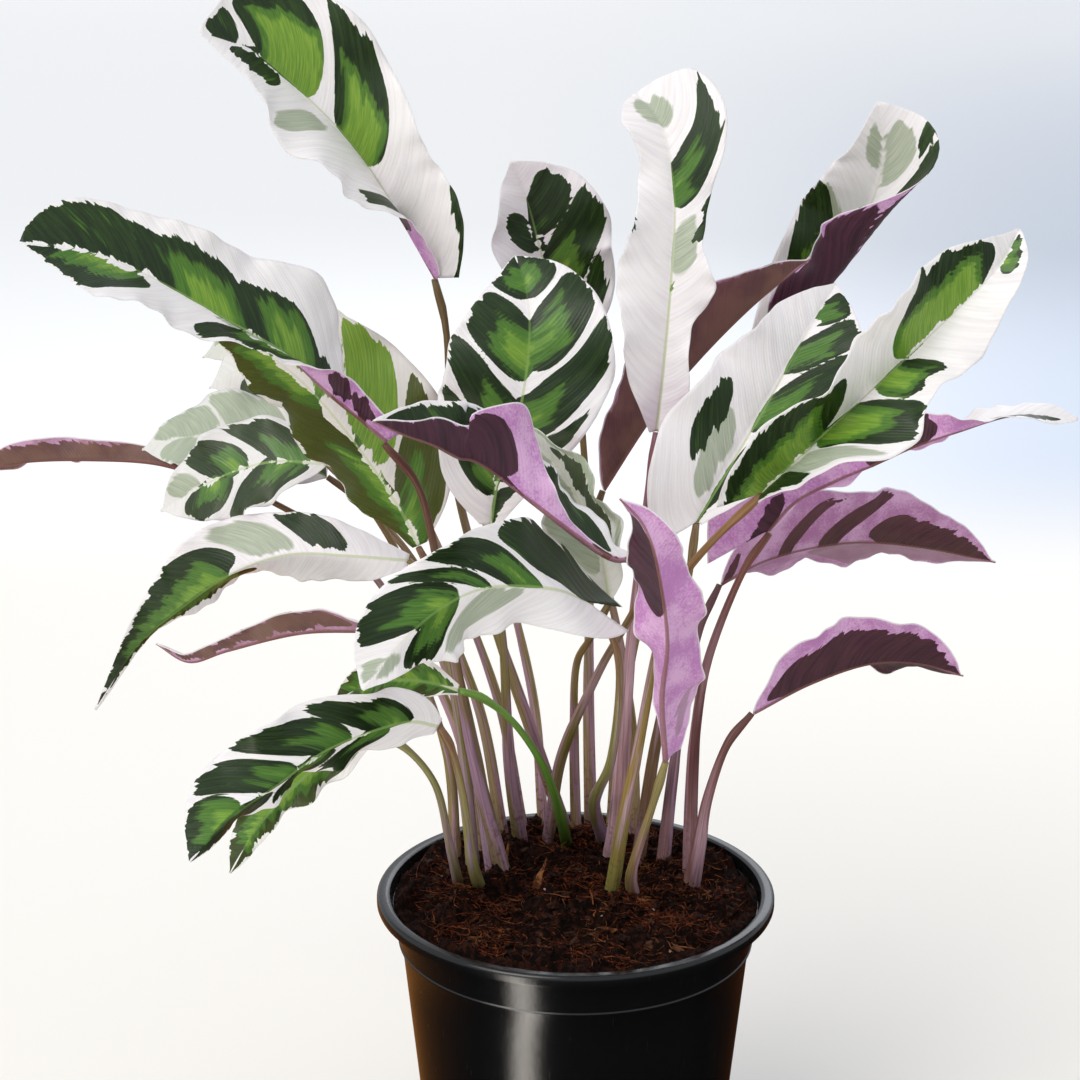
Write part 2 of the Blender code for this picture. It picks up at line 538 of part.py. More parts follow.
def soil_height(x, y):
    """The coir's surface, in millimetres: low at the rim, mounded round the stems, with rough lumps."""
    radius = math.hypot(x, y)
    mound = SOIL_MOUND * max(0.0, 1 - (radius / 66) ** 2)
    lumps = math.sin(x * 0.21 + 1.3) * math.cos(y * 0.17 - 0.6) + 0.6 * math.sin(x * 0.39 - y * 0.31)
    back_left = 3.5 * math.exp(-((x + 45) ** 2 + (y - 40) ** 2) / 260)
    return SOIL_EDGE + mound + SOIL_ROUGHNESS * lumps + back_left


def make_soil(material, collection):
    """A plug that fills the pot: its side follows the pot's inside, and its top is the rough coir."""
    bottom = FOOT_HEIGHT + FLOOR + GAP
    shoulder = pot_radius(COLLAR_BOTTOM) - WALL
    rise = (SOIL_EDGE - COLLAR_BOTTOM) / (POT_HEIGHT - 1 - COLLAR_BOTTOM)
    edge = shoulder + (RIM_RADIUS - RIM_WIDTH - shoulder) * rise
    rings = [(BASE_RADIUS - WALL - 1 - GAP, bottom), (shoulder - GAP, COLLAR_BOTTOM), (edge - GAP, SOIL_EDGE)]
    rings += [(radius, None) for radius in SOIL_RINGS]
    shape = bmesh.new()
    rows = []
    for radius, height in rings:
        row = []
        for turn in np.arange(TURN_STEPS) * 2 * math.pi / TURN_STEPS:
            x, y = radius * math.cos(turn), radius * math.sin(turn)
            z = soil_height(x, y) if height is None else height
            row.append(shape.verts.new((x * MM, y * MM, z * MM)))
        rows.append(row)
    for low, high in zip(rows, rows[1:]):
        for i in range(TURN_STEPS):
            k = (i + 1) % TURN_STEPS
            shape.faces.new((low[i], low[k], high[k], high[i]))
    shape.faces.new(rows[0][::-1])
    middle = shape.verts.new((0, 0, soil_height(0, 0) * MM))
    for i in range(TURN_STEPS):
        shape.faces.new((rows[-1][i], rows[-1][(i + 1) % TURN_STEPS], middle))
    bmesh.ops.triangulate(shape, faces=shape.faces[:])
    return finish_mesh("soil", shape, material, collection)


def bore_soil(soil, leaves, cutters):
    """A plain upright hole in the soil for each stem."""
    for name, leaf in leaves.items():
        route = stem_route(leaf)
        low, high = route[0] - (0, 0, GAP), route[1] + (0, 0, 3)
        radius = (leaf["root_radius"] + GAP) / math.cos(math.pi / 6)
        shape = bmesh.new()
        bmesh.ops.create_cone(shape, cap_ends=True, segments=6, radius1=radius * MM, radius2=radius * MM,
                              depth=(high[2] - low[2]) * MM)
        bmesh.ops.translate(shape, vec=(low + high) / 2 * MM, verts=shape.verts[:])
        cutter = finish_mesh("hole_" + name, shape, soil.data.materials[0], cutters)
        hide_cutter(cutter)
        cut(soil, cutter)


def main():
    clear_scene()
    parts = make_collection("potted_white_fusion_calathea")
    cutters = make_collection("cutters")
    materials = {name: make_material(name) for name in COLOURS}
    make_pot(materials["pot_plastic"], parts, cutters)
    soil = make_soil(materials["coir_soil"], parts)
    bore_soil(soil, LEAVES, cutters)
    for name, leaf in LEAVES.items():
        blade = "leaf_underside_purple" if name in PURPLE_LEAVES else "leaf_green_white"
        stem = "stem_mauve" if name in MAUVE_STEMS else "stem_olive"
        make_blade(f"leaf_{name}", leaf, materials[blade], parts)
        route = stem_route(leaf)
        radii = stem_radii(leaf, len(route) - 1)
        make_tube(f"stem_{name}", route, [radii[0], *radii], materials[stem], parts)
    print(len(parts.objects), "pieces")


main()
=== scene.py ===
# Potted white fusion calathea: variegated leaves on slender stalks, coir soil and a glossy black nursery pot.
# Metres, +Z up, with the origin under the middle of the pot. The viewer of the photograph stands at -Y.
import math

import bpy
import numpy as np
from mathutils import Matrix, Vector


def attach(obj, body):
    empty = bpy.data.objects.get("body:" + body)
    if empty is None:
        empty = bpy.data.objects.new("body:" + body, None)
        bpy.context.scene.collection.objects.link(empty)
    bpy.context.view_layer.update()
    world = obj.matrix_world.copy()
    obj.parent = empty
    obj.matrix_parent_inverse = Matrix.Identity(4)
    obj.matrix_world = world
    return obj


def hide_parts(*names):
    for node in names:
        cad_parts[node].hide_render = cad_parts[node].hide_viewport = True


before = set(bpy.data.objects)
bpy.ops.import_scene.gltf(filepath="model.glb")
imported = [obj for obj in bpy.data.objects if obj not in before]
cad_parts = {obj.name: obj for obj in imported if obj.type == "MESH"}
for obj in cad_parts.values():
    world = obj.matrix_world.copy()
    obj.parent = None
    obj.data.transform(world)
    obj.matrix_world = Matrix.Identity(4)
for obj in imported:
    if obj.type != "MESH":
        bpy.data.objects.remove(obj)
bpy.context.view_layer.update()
mm = 0.001
# the surface maps count one unit for 100 mm
mapUnit = 100
print("frame loaded:", len(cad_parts), "nodes")


def deselectAll():
    for thing in bpy.context.selected_objects:
        thing.select_set(False)


deselectAll()


# Camera, floor and light

studio = dict(
    lens=79.0, sensor=36.0, cameraPlace=(-0.0133, -0.819, 0.513), cameraTilt=73.85,
    floorSize=24.0, floorDrop=0.0002, coveStart=9.0, coveRadius=2.0, coveHeight=6.0,
    paleWall="#fbfbfb", shadedWall="#cfd7e4", creamTable="#f7f3ec",
    skyColour="#eef3fa", skyStrength=0.74, cardReach=(0.05, 1.3), cardSteps=24,
    # name, kind, place, aim, power, colour, and the sun's angle or the lamp's size
    lights=(
        ("windowSun", "SUN", (-1.5, -1.6, 2.6), (0, 0, 0.2), 1.0, "#fffaf2", dict(angle=0.7)),
        ("keySoftbox", "AREA", (-1.1, -1.3, 1.5), (0, 0, 0.25), 8.2, "#fffdf8", dict(size=0.9)),
        ("backSoftbox", "AREA", (0.5, 1.6, 1.3), (0, 0, 0.3), 8.2, "#f4f8ff", dict(size=1.2)),
    ),
    # painted reflections for the pot: name, where it starts and ends round the pot in degrees, colour,
    # strength, height and how it fades
    cards=(
        ("darkCard", -180, 180, "#161413", 1.0, 0.0004, "even"),
        ("stripCard", -44, -19, "#fff8ee", 7.0, 0.0008, "hump"),
        ("amberCard", -58, -180, "#c98546", 1.15, 0.0008, "rise"),
        ("brownCard", 80, 180, "#8a4f22", 0.5, 0.0008, "rise"),
    ),
)


def hexColour(text):
    # sRGB hex to linear RGBA
    parts = [int(text[i:i + 2], 16) / 255 for i in (1, 3, 5)]
    return (*[c / 12.92 if c <= 0.04045 else ((c + 0.055) / 1.055) ** 2.4 for c in parts], 1)


def addNode(tree, kind, inputs=None, **settings):
    # one node with its settings; an input is a value, or another node's output to link from
    node = tree.nodes.new(kind)
    for key, value in settings.items():
        setattr(node, key, value)
    for key, value in (inputs or {}).items():
        if isinstance(value, bpy.types.NodeSocket):
            tree.links.new(value, node.inputs[key])
        else:
            node.inputs[key].default_value = value
    return node


def newMaterial(name):
    material = bpy.data.materials.new(name)
    material.use_nodes = True
    tree = material.node_tree
    tree.nodes.clear()
    return material, tree


def ramp(tree, value, low, high, start=0.0, end=1.0):
    # a smooth step from start to end while value goes from low to high
    span = {"Value": value, "From Min": low, "From Max": high, "To Min": start, "To Max": end}
    return addNode(tree, "ShaderNodeMapRange", span, interpolation_type="SMOOTHSTEP").outputs[0]


def blendColour(tree, share, first, second):
    # the second colour over the first, by share
    return addNode(tree, "ShaderNodeMix", {0: share, 6: first, 7: second}, data_type="RGBA").outputs[2]


def calc(tree, operation, first, second=0.0, third=0.0):
    return addNode(tree, "ShaderNodeMath", {0: first, 1: second, 2: third}, operation=operation).outputs[0]


def addObject(name, mesh):
    thing = bpy.data.objects.new(name, mesh)
    bpy.context.scene.collection.objects.link(thing)
    return thing


def makeFloor():
    # one sheet: a table top that rises into a wall far behind
    size, cove, bend = studio["floorSize"], studio["coveStart"], studio["coveRadius"]
    rows = [(-size / 2, 0.0), (cove, 0.0)]
    for turn in np.linspace(0.1, math.pi / 2, 12):
        rows.append((cove + bend * math.sin(turn), bend - bend * math.cos(turn)))
    rows.append((cove + bend, studio["coveHeight"]))
    points = [(x, y, z - studio["floorDrop"]) for y, z in rows for x in (-size / 2, size / 2)]
    mesh = bpy.data.meshes.new("paleFloor")
    mesh.from_pydata(points, [], [(2 * i, 2 * i + 1, 2 * i + 3, 2 * i + 2) for i in range(len(rows) - 1)])
    mesh.shade_smooth()
    floor = addObject("paleFloor", mesh)
    floor.visible_glossy = False

    # matt painted board: cream near the pot, then near white, turning cooler and darker towards the right in
    # painted shade
    material, tree = newMaterial("mattPaintedBoard")
    place = addNode(tree, "ShaderNodeSeparateXYZ", {0: addNode(tree, "ShaderNodeTexCoord").outputs["Object"]})
    across, away = place.outputs["X"], place.outputs["Y"]
    spread = calc(tree, "DIVIDE", across, calc(tree, "ADD", away, 0.82))
    # painted shade: the wall greys to blue towards the right, less so far away
    wallShade = calc(tree, "MULTIPLY", ramp(tree, spread, -0.04, 0.26), ramp(tree, away, 7.0, 1.6, 0.3, 1.0))
    wall = blendColour(tree, wallShade, hexColour(studio["paleWall"]), hexColour(studio["shadedWall"]))
    colour = blendColour(tree, ramp(tree, away, 0.75, 1.25), hexColour(studio["creamTable"]), wall)
    shader = addNode(tree, "ShaderNodeBsdfDiffuse", {"Color": colour})
    addNode(tree, "ShaderNodeOutputMaterial", {"Surface": shader.outputs[0]})
    mesh.materials.append(material)


def makeCard(name, start, end, colour, strength, height, fade):
    # a glowing sector on the table round the pot, seen only in glossy reflections: a painted reflection,
    # dark, bright or amber
    spread = np.linspace(0, 1, studio["cardSteps"])
    turns = np.radians(start + (end - start) * spread)
    glow = {"even": spread * 0 + 1, "hump": np.sin(math.pi * spread) ** 2, "rise": spread**1.5}[fade]
    points = [(r * math.sin(t), -r * math.cos(t), height) for t in turns for r in studio["cardReach"]]
    mesh = bpy.data.meshes.new(name)
    mesh.from_pydata(points, [], [(2 * i, 2 * i + 1, 2 * i + 3, 2 * i + 2) for i in range(len(turns) - 1)])
    attribute = mesh.attributes.new("glow", "FLOAT", "POINT")
    attribute.data.foreach_set("value", np.repeat(glow, 2).astype(np.float32))
    material, tree = newMaterial(name)
    shine = addNode(tree, "ShaderNodeAttribute", attribute_name="glow").outputs["Fac"]
    light = {"Color": hexColour(colour), "Strength": calc(tree, "MULTIPLY", shine, strength)}
    shader = addNode(tree, "ShaderNodeEmission", light)
    addNode(tree, "ShaderNodeOutputMaterial", {"Surface": shader.outputs[0]})
    mesh.materials.append(material)
    card = addObject(name, mesh)
    for ray in ("camera", "diffuse", "transmission", "volume_scatter", "shadow"):
        setattr(card, "visible_" + ray, False)


def addLight(name, kind, place, aim, power, colour, settings):
    light = bpy.data.lights.new(name, kind)
    light.energy, light.color = power, hexColour(colour)[:3]
    for key, value in settings.items():
        setattr(light, key, value)
    lamp = addObject(name, light)
    lamp.location = place
    lamp.rotation_euler = (Vector(aim) - Vector(place)).to_track_quat("-Z", "Y").to_euler()


def makeStudio():
    scene = bpy.context.scene
    scene.view_settings.view_transform = "Standard"
    camera = bpy.data.cameras.new("photoCamera")
    camera.lens, camera.sensor_width = studio["lens"], studio["sensor"]
    scene.camera = addObject("photoCamera", camera)
    scene.camera.location = studio["cameraPlace"]
    scene.camera.rotation_euler = (math.radians(studio["cameraTilt"]), 0, 0)
    makeFloor()
    for card in studio["cards"]:
        makeCard(*card)
    world = bpy.data.worlds.new("studioSky")
    world.use_nodes = True
    sky = world.node_tree.nodes["Background"]
    sky.inputs["Color"].default_value = hexColour(studio["skyColour"])
    sky.inputs["Strength"].default_value = studio["skyStrength"]
    scene.world = world
    for light in studio["lights"]:
        addLight(*light)


makeStudio()
print("studio ready")


# Leaves: thin waved blades, variegated white, sage, lime and near-black green above, and pink, violet
# and maroon beneath

blade = dict(
    rows=96, columns=34, thickness=0.42, widest=0.42, lobeEnd=0.35, deepest=8.0,
    baseRound=0.7, tipRound=2.3, tipEnd=0.06, leastHalf=0.5, bunch=0.9, calmWidth=8.0,
    waves=3.5, waveHeight=2.8, ruffleLength=11.0, ruffleHeight=0.7, veinRelief=0.1, veinSpacing=7.5,
    ribWidth=1.5, ribDepth=0.35, ribRidge=0.75, marginThinning=0.45, ribTaper=0.75,
)

# How far a patch's outline wanders and how far it spills over the midrib or the margin, in millimetres,
# and for the two-tone patches the width of the lime core, how far it reaches and how fast it darkens
patch = dict(
    wander=0.9, spill=4, streak=1.8, darkDepth=1.7,
    cores=dict(mixed=(0.62, 0.5, 1.0), bright=(0.85, 0.62, 1.8)),
)

# The same shapes as the solids. stem and rib are in millimetres, folds, curl and lobe in degrees, and
# what follows the rib is given at even stations from base to tip.
leafShapes = {
    "top_left": dict(
        stem=[(-3, 57, 131), (-16, 39, 186), (-32, 29, 240), (-45, 25, 295), (-47, 25, 345)],
        rib=[(-51, 22, 367), (-75, 14, 410), (-95, 6, 434), (-111, -3, 449), (-127, -14, 456)],
        face=[(0.2, -1, 0.3), (0.1, -1, 0.4), (0.1, -1, 0.5)],
        left=(3, 16, 26, 30, 27, 16, 2), right=(10, 25, 23, 27, 32, 26, 6),
        leftFold=(130, 92, 66, 52, 40, 30), rightFold=(45, 40, 20, 5, 0), curl=(-15, 10),
        rootRadius=2.6, lobe=(0, 15),
    ),
    "left_arching": dict(
        stem=[(-27, 3, 131), (-37, -2, 190), (-45, -10, 240), (-51, -17, 280), (-56, -24, 303)],
        rib=[(-66, -31, 320), (-84, -38, 338), (-98, -44, 353), (-116, -52, 366), (-138, -60, 381),
             (-158, -66, 391), (-178, -72, 395)],
        face=[(0.6, 0.1, 0.8), (0.3, -0.1, 0.95), (0.1, -0.3, 0.95)],
        left=(6, 9, 12, 14, 17, 22, 4), right=(3, 3, 22, 30, 27, 24, 22, 20, 17, 9),
        leftFold=(85, 62, -8, -16, -10, -5), rightFold=(20, 35, 48, 50, 45, 40, 35), curl=(0, 10),
        rootRadius=2.8, lobe=(20, 0),
    ),
    "left_inner": dict(
        stem=[(-31, 12, 131), (-37, 12, 185), (-44, 6, 225), (-52, -2, 262)],
        rib=[(-57, -5, 275), (-64, -3, 289), (-79, 1, 311), (-97, 5, 332), (-116, 9, 346),
             (-133, 12, 354)],
        face=[(0.2, -1, 0.2), (0.2, -1, 0.3), (0.1, -1, 0.4)],
        left=(3, 18, 28, 29, 26, 19, 2), right=(4, 26, 34, 33, 28, 18, 2),
        leftFold=(-55, -65, -65, -60), rightFold=(15, 12, 20, 40), curl=(0, -10), rootRadius=3.0,
    ),
    "front_centre": dict(
        stem=[(11, 40, 131), (11, 34, 146), (7, 6, 172), (12, -34, 205), (14, -52, 242),
              (10, -62, 262)],
        rib=[(2, -70, 275), (-9, -82, 283), (-30, -97, 288), (-45, -107, 284), (-58, -114, 274),
             (-69, -118, 261)],
        face=[(0.0, -0.5, 0.85), (0.0, -0.8, 0.6), (0.0, -0.9, 0.4)],
        left=(20, 14, 15, 19, 20, 11, 1), right=(26, 24, 22, 19, 17.5, 15, 3),
        leftFold=(-10, -62, -62, -55, -30), rightFold=(0, 8, 34, 18, 0), curl=(10, 10), lobe=(66, 78),
        rootRadius=2.6,
    ),
    "centre_curled": dict(
        stem=[(-10, 46, 131), (-5, 32, 180), (8, -2, 226), (21, -38, 266)],
        rib=[(18, -54, 284), (6, -60, 289), (-30, -66, 319), (-40, -70, 324), (-48, -73, 329),
             (-57, -76, 333), (-67, -78, 338)],
        face=[(0.3, 0.6, 0.5), (0.35, 0.8, 0.5), (0.1, 0.2, 1)],
        left=(1.5, 2, 3, 5, 10, 19, 25, 12, 9, 5, 2), right=(3, 14, 17, 18, 20, 15, 3),
        leftFold=(80, 75, 62, 58, 60, 70), rightFold=(70, 78, 80, 70), curl=(20, 10), rootRadius=2.3,
    ),
    "centre_hidden": dict(
        stem=[(1, 48, 131), (0, 44, 180), (0, 14, 222), (5, -20, 246)],
        rib=[(11, -28, 262), (7, -29, 283), (-3, -28, 304), (-13, -28, 317), (-24, -28, 326)],
        face=[(0.1, -1, 0.2), (0.1, -1, 0.3), (0.1, -1, 0.3)],
        left=18, right=14, leftFold=(40, 30, 30, 30), rightFold=(55, 60, 60, 50), curl=(0, 0),
        rootRadius=2.0,
    ),
    "centre_upright": dict(
        stem=[(-21, 42, 131), (-25, 28, 180), (-27, 8, 235), (-31, -2, 265)],
        rib=[(-31, -5, 283), (-28, -9, 301), (-20, -11, 328), (-17, -8, 351), (-18, 0, 366),
             (-22, 10, 377)],
        face=[(0.0, -1, 0.1), (0, -1, 0.1), (0, -0.8, 0.6)],
        left=(4, 20, 27, 29, 27, 18, 3), right=(3, 12, 20, 28, 30, 22, 4), leftFold=(20, 12, 15, 15),
        rightFold=(20, 15, 15, 15), curl=(-15, -15), rootRadius=2.8,
    ),
    "back_upright": dict(
        stem=[(7, 57, 131), (6, 67, 190), (6, 72, 250), (3, 72, 300)],
        rib=[(0, 70, 330), (-6, 68, 351), (-12, 66, 366), (-17, 64, 385), (-21, 62, 397),
             (-24, 60, 404)],
        face=[(0.1, -1, 0.1), (0, -1, 0.2), (0, -1, 0.3)],
        left=(3, 14, 20, 21, 19, 13, 2), right=(3, 17, 24, 27, 28, 21, 3), leftFold=(30, 30, 35, 20),
        rightFold=(10, 10, 10, 10), curl=(0, -10), rootRadius=2.5,
    ),
    "tall_white": dict(
        stem=[(14, 18, 131), (16, 6, 169), (20, 0, 238), (25, 0, 290)],
        rib=[(28, 0, 316), (30, -4, 340), (32, -6, 370), (33, -3, 398), (29, 3, 422), (20, 10, 434)],
        face=[(0, -1, 0.0), (0, -1, 0.1), (0, -1, 0.4)],
        left=(3, 10, 15, 18, 19, 18, 14, 11, 13, 12), right=(3, 11, 11, 9, 17, 11, 12, 20, 23, 13),
        leftFold=(35, 25, 25, 25), rightFold=(40, 30, 20, 20), curl=(-10, 0), rootRadius=3.6,
    ),
    "behind_tall": dict(
        stem=[(24, 42, 131), (22, 44, 190), (14, 34, 240), (4, 22, 268)],
        rib=[(10, 21, 289), (26, 23, 314), (42, 26, 334), (63, 30, 355), (85, 36, 372)],
        face=[(-0.6, 0.4, 0.6), (-0.4, 0.8, 0.4), (-0.4, 0.8, 0.3)],
        left=22, right=22, leftFold=(30, 40, 60, 50), rightFold=(30, 20, 10, 10), curl=(0, 0),
        rootRadius=2.3,
    ),
    "right_upper": dict(
        stem=[(25, 27, 131), (30, 16, 190), (37, 0, 240), (40, -9, 266)],
        rib=[(42, -15, 287), (51, -13, 302), (66, -5, 326), (80, 5, 349), (92, 16, 366)],
        face=[(-0.2, -1, 0.2), (-0.1, -1, 0.3), (0, -1, 0.4)],
        left=(16, 28, 29, 25, 20, 13, 2), right=(3, 15, 22, 26, 27, 20, 3), leftFold=(35, 30, 30, 20),
        rightFold=(45, 42, 30, 15), curl=(-10, 0), rootRadius=2.6, lobe=(60, 0),
    ),
    "right_large": dict(
        stem=[(13, -14, 131), (17, -32, 183), (21, -39, 210), (27, -46, 250), (33, -50, 273),
              (43, -56, 290)],
        rib=[(60, -65, 311), (81, -76, 336), (102, -82, 359), (122, -84, 380), (132, -82, 391),
             (137, -78, 400)],
        face=[(-0.2, -0.9, 0.5), (-0.1, -0.9, 0.4), (-0.1, -1, 0.3)],
        left=(16, 21, 21, 22, 25, 18, 2), right=(8, 15, 22, 28, 28, 19, 17, 13, 9, 3),
        leftFold=(50, 60, 66, 58, 45, 30), rightFold=(70, 62, 40, 20, 30), curl=(0, -15),
        rootRadius=2.6, lobe=(60, 0),
    ),
    "far_right": dict(
        stem=[(44, 16, 131), (44, 16, 170), (45, 12, 200), (49, 8, 229), (60, 4, 262)],
        rib=[(69, 2, 279), (78, 0, 290), (92, -4, 299), (105, -8, 306), (117, -12, 313),
             (131, -18, 320), (150, -26, 328), (170, -32, 328)],
        face=[(-0.3, 0.5, 0.8), (0.0, 0.4, 1), (0.0, 0.1, 1), (0.1, -0.6, 0.8)],
        left=(4, 9, 10, 9, 9, 12, 12, 8, 2), right=(26, 28, 25, 19, 14, 9, 9, 7, 2),
        leftFold=(10, 10, 10, 0), rightFold=(62, 60, 58, 50, 20, 0), curl=(0, 0), rootRadius=2.8,
        lobe=(0, 72),
    ),
    "top_right": dict(
        stem=[(15, 50, 131), (19, 60, 190), (32, 64, 250), (48, 63, 295)],
        rib=[(66, 61, 322), (88, 58, 354), (105, 55, 380), (112, 52, 404), (109, 48, 427)],
        face=[(-0.6, -0.8, 0.2), (-0.4, -0.9, 0.3), (0.1, -1, 0.3)],
        left=(3, 12, 19, 23, 23, 16, 2), right=(3, 20, 28, 30, 33, 30, 5),
        leftFold=(30, 25, 25, 20, 10), rightFold=(20, 20, 20, 15, 0),
        curl=(0, (172, 172, 172, 170, 105, 0)), rootRadius=2.3,
    ),
    "right_level": dict(
        stem=[(34, 22, 131), (37, 26, 170), (42, 40, 200), (49, 54, 225)],
        rib=[(57, 62, 240), (74, 70, 247), (96, 80, 250), (118, 90, 249), (144, 98, 244),
             (172, 105, 236)],
        face=[(-0.3, 0.7, 0.6), (0.0, 0.8, 0.5), (0.1, 0.7, 0.7)],
        left=24, right=25, leftFold=(20, 20, 20, 10), rightFold=(25, 15, 15, 20), curl=(0, 10),
        rootRadius=2.6,
    ),
    "right_low": dict(
        stem=[(44, 5, 131), (46, -2, 158), (49, 0, 176), (56, 5, 195)],
        rib=[(66, 10, 206), (88, 20, 214), (111, 28, 219), (131, 34, 217), (149, 40, 210)],
        face=[(-0.4, 0.6, 0.7), (-0.1, 0.55, 0.8), (0.1, 0.6, 0.7)],
        left=20, right=21, leftFold=(30, 20, 10, 10), rightFold=(35, 45, 40, 30), curl=(0, 0),
        rootRadius=3.2,
    ),
    "front_twisted": dict(
        stem=[(21, -7, 131), (21, -12, 143), (20, -32, 162), (26, -47, 192)],
        rib=[(30, -54, 212), (28, -64, 238), (29, -73, 262), (25, -83, 290), (20, -88, 306),
             (12, -91, 316)],
        face=[(-0.3, 0.9, 0), (0.2, 0.9, 0.1), (0.6, 0.6, 0.3)],
        left=(8, 17, 16, 15, 12, 8, 1), right=(1, 3, 8, 13, 13, 10, 1), leftFold=(35, 50, 60, 50),
        rightFold=(85, 60, 30, 20, 20), curl=(-20, 0), rootRadius=2.5,
    ),
    "front_left_low": dict(
        stem=[(-36, -1, 131), (-38, -30, 165), (-40, -56, 200), (-43, -70, 222)],
        rib=[(-47, -79, 234), (-56, -88, 239), (-69, -98, 239), (-83, -108, 236), (-96, -117, 229),
             (-111, -124, 220), (-124, -128, 207)],
        face=[(0, -0.6, 0.8), (0, -0.75, 0.6), (-0.2, -0.9, 0.4)],
        left=(3, 12, 14, 12, 9, 8, 2), right=(3, 12, 16, 18, 19, 16, 3), leftFold=(-80, -88, -88, -80),
        rightFold=(62, 55, 22, 0), curl=(0, 0), rootRadius=2.3,
    ),
    "left_low": dict(
        stem=[(-44, 2, 131), (-46, -28, 170), (-50, -46, 200), (-61, -57, 219)],
        rib=[(-73, -60, 222), (-85, -63, 217), (-98, -68, 207), (-110, -72, 194), (-119, -74, 179)],
        face=[(0, -0.6, 0.8), (-0.3, -0.8, 0.5), (-0.5, -0.8, 0.2)],
        left=(3, 9, 9, 7, 5, 4, 1), right=(3, 11, 13, 12, 9, 6, 1), leftFold=(-40, -55, -55, -40),
        rightFold=(20, 20, 20, 10), curl=(0, 0), rootRadius=1.8,
    ),
    "front_green": dict(
        stem=[(-3, 38, 131), (-6, 6, 168), (-12, -14, 194), (-22, -24, 214), (-33, -30, 226)],
        rib=[(-42, -35, 231), (-52, -38, 235), (-63, -41, 237), (-74, -44, 236), (-84, -46, 231)],
        face=[(0, -0.4, 0.9), (0, -0.6, 0.8), (-0.2, -0.8, 0.5)],
        left=(2, 5, 6, 5, 3), right=(2, 7, 9, 7, 2), leftFold=(-10, -20, -20, -10),
        rightFold=(40, 40, 30, 20), curl=(0, 0), rootRadius=2.0,
    ),
    "left_middle": dict(
        stem=[(-39, 18, 131), (-42, 22, 180), (-48, 26, 222), (-57, 29, 252)],
        rib=[(-63, 31, 259), (-86, 40, 258), (-109, 48, 256), (-131, 54, 247), (-153, 58, 231),
             (-171, 60, 215), (-189, 62, 188)],
        face=[(0, -0.4, 0.9), (0, -0.6, 0.8), (-0.5, -0.6, 0.6)],
        left=(3, 12, 16, 14, 9, 4, 2, 1), right=(3, 12, 17, 21, 19, 11, 4, 1),
        leftFold=(-60, -95, -110, -100, -80), rightFold=(10, 20, 30, 60, 60), curl=(0, 0),
        rootRadius=2.6,
    ),
    "left_upper": dict(
        stem=[(-36, 32, 131), (-44, 46, 190), (-62, 58, 240), (-80, 66, 271)],
        rib=[(-96, 70, 286), (-115, 75, 286), (-132, 80, 281), (-149, 85, 272), (-164, 89, 262)],
        face=[(0, -0.3, 0.9), (0, -0.5, 0.8), (-0.3, -0.6, 0.7)],
        left=20, right=20, leftFold=(-20, -20, -20, -20), rightFold=(20, 30, 30, 30), curl=(0, 0),
        rootRadius=2.1,
    ),
    "back_left_pale": dict(
        stem=[(-28, 48.5, 131), (-38, 64, 190), (-61, 80, 240), (-84, 87, 266)],
        rib=[(-98, 90, 276), (-121, 100, 284), (-142, 110, 287), (-160, 117, 285), (-176, 122, 279)],
        face=[(0, -0.3, 0.9), (0, -0.4, 0.9), (-0.2, -0.4, 0.9)],
        left=22, right=24, leftFold=(-10, -10, -10, -10), rightFold=(20, 20, 20, 10), curl=(0, 0),
        rootRadius=2.3,
    ),
    "back_left_curled": dict(
        stem=[(-20, 53, 131), (-31, 77, 190), (-57, 101, 250), (-78, 110, 284)],
        rib=[(-92, 116, 300), (-108, 122, 309), (-124, 129, 312), (-138, 135, 309), (-150, 139, 301)],
        face=[(0, -0.3, 0.9), (0, -0.5, 0.9), (-0.2, -0.5, 0.8)],
        left=17, right=17, leftFold=(-30, -40, -40, -20), rightFold=(20, 20, 20, 0), curl=(0, 0),
        rootRadius=2.0,
    ),
    "back_left_top": dict(
        stem=[(-12, 56.5, 131), (-17, 86, 190), (-36, 116, 250), (-66, 138, 291)],
        rib=[(-84, 146, 306), (-102, 154, 316), (-122, 162, 319), (-141, 168, 316), (-157, 172, 307)],
        face=[(0, -0.2, 0.9), (0, -0.4, 0.9), (-0.2, -0.4, 0.8)],
        left=18, right=18, leftFold=(-20, -30, -30, -20), rightFold=(20, 20, 20, 0), curl=(0, 0),
        rootRadius=2.0,
    ),
    "far_left": dict(
        stem=[(-36, 42, 131), (-49, 68, 185), (-83, 97, 236), (-126, 114, 261)],
        rib=[(-154, 124, 268), (-174, 131, 271), (-200, 140, 270), (-228, 149, 267), (-254, 157, 261)],
        face=[(0, 0.8, 0.5), (0, 0.8, 0.5), (-0.1, 0.8, 0.5)],
        left=(2, 6, 8, 9, 10, 8, 1), right=(2, 6, 8, 9, 10, 8, 1), leftFold=(70, 50, 40, 20),
        rightFold=(70, 60, 50, 20), curl=(0, 0), rootRadius=2.1,
    ),
    "left_curled": dict(
        stem=[(-46, 27, 131), (-48, 24, 180), (-58, 20, 218), (-67, 19, 231)],
        rib=[(-77, 20, 235), (-103, 26, 232), (-131, 32, 223), (-147, 36, 217), (-160, 40, 223)],
        face=[(0.2, 0.6, 0.8), (0, 0.8, 0.5), (0.3, 0.3, 0.9)],
        left=(3, 8, 9, 7, 5, 4, 1), right=(3, 9, 10, 7, 5, 4, 1), leftFold=(30, 40, 50, 30),
        rightFold=(60, 65, 60, 40), curl=(0, 0), rootRadius=2.1,
    ),
}

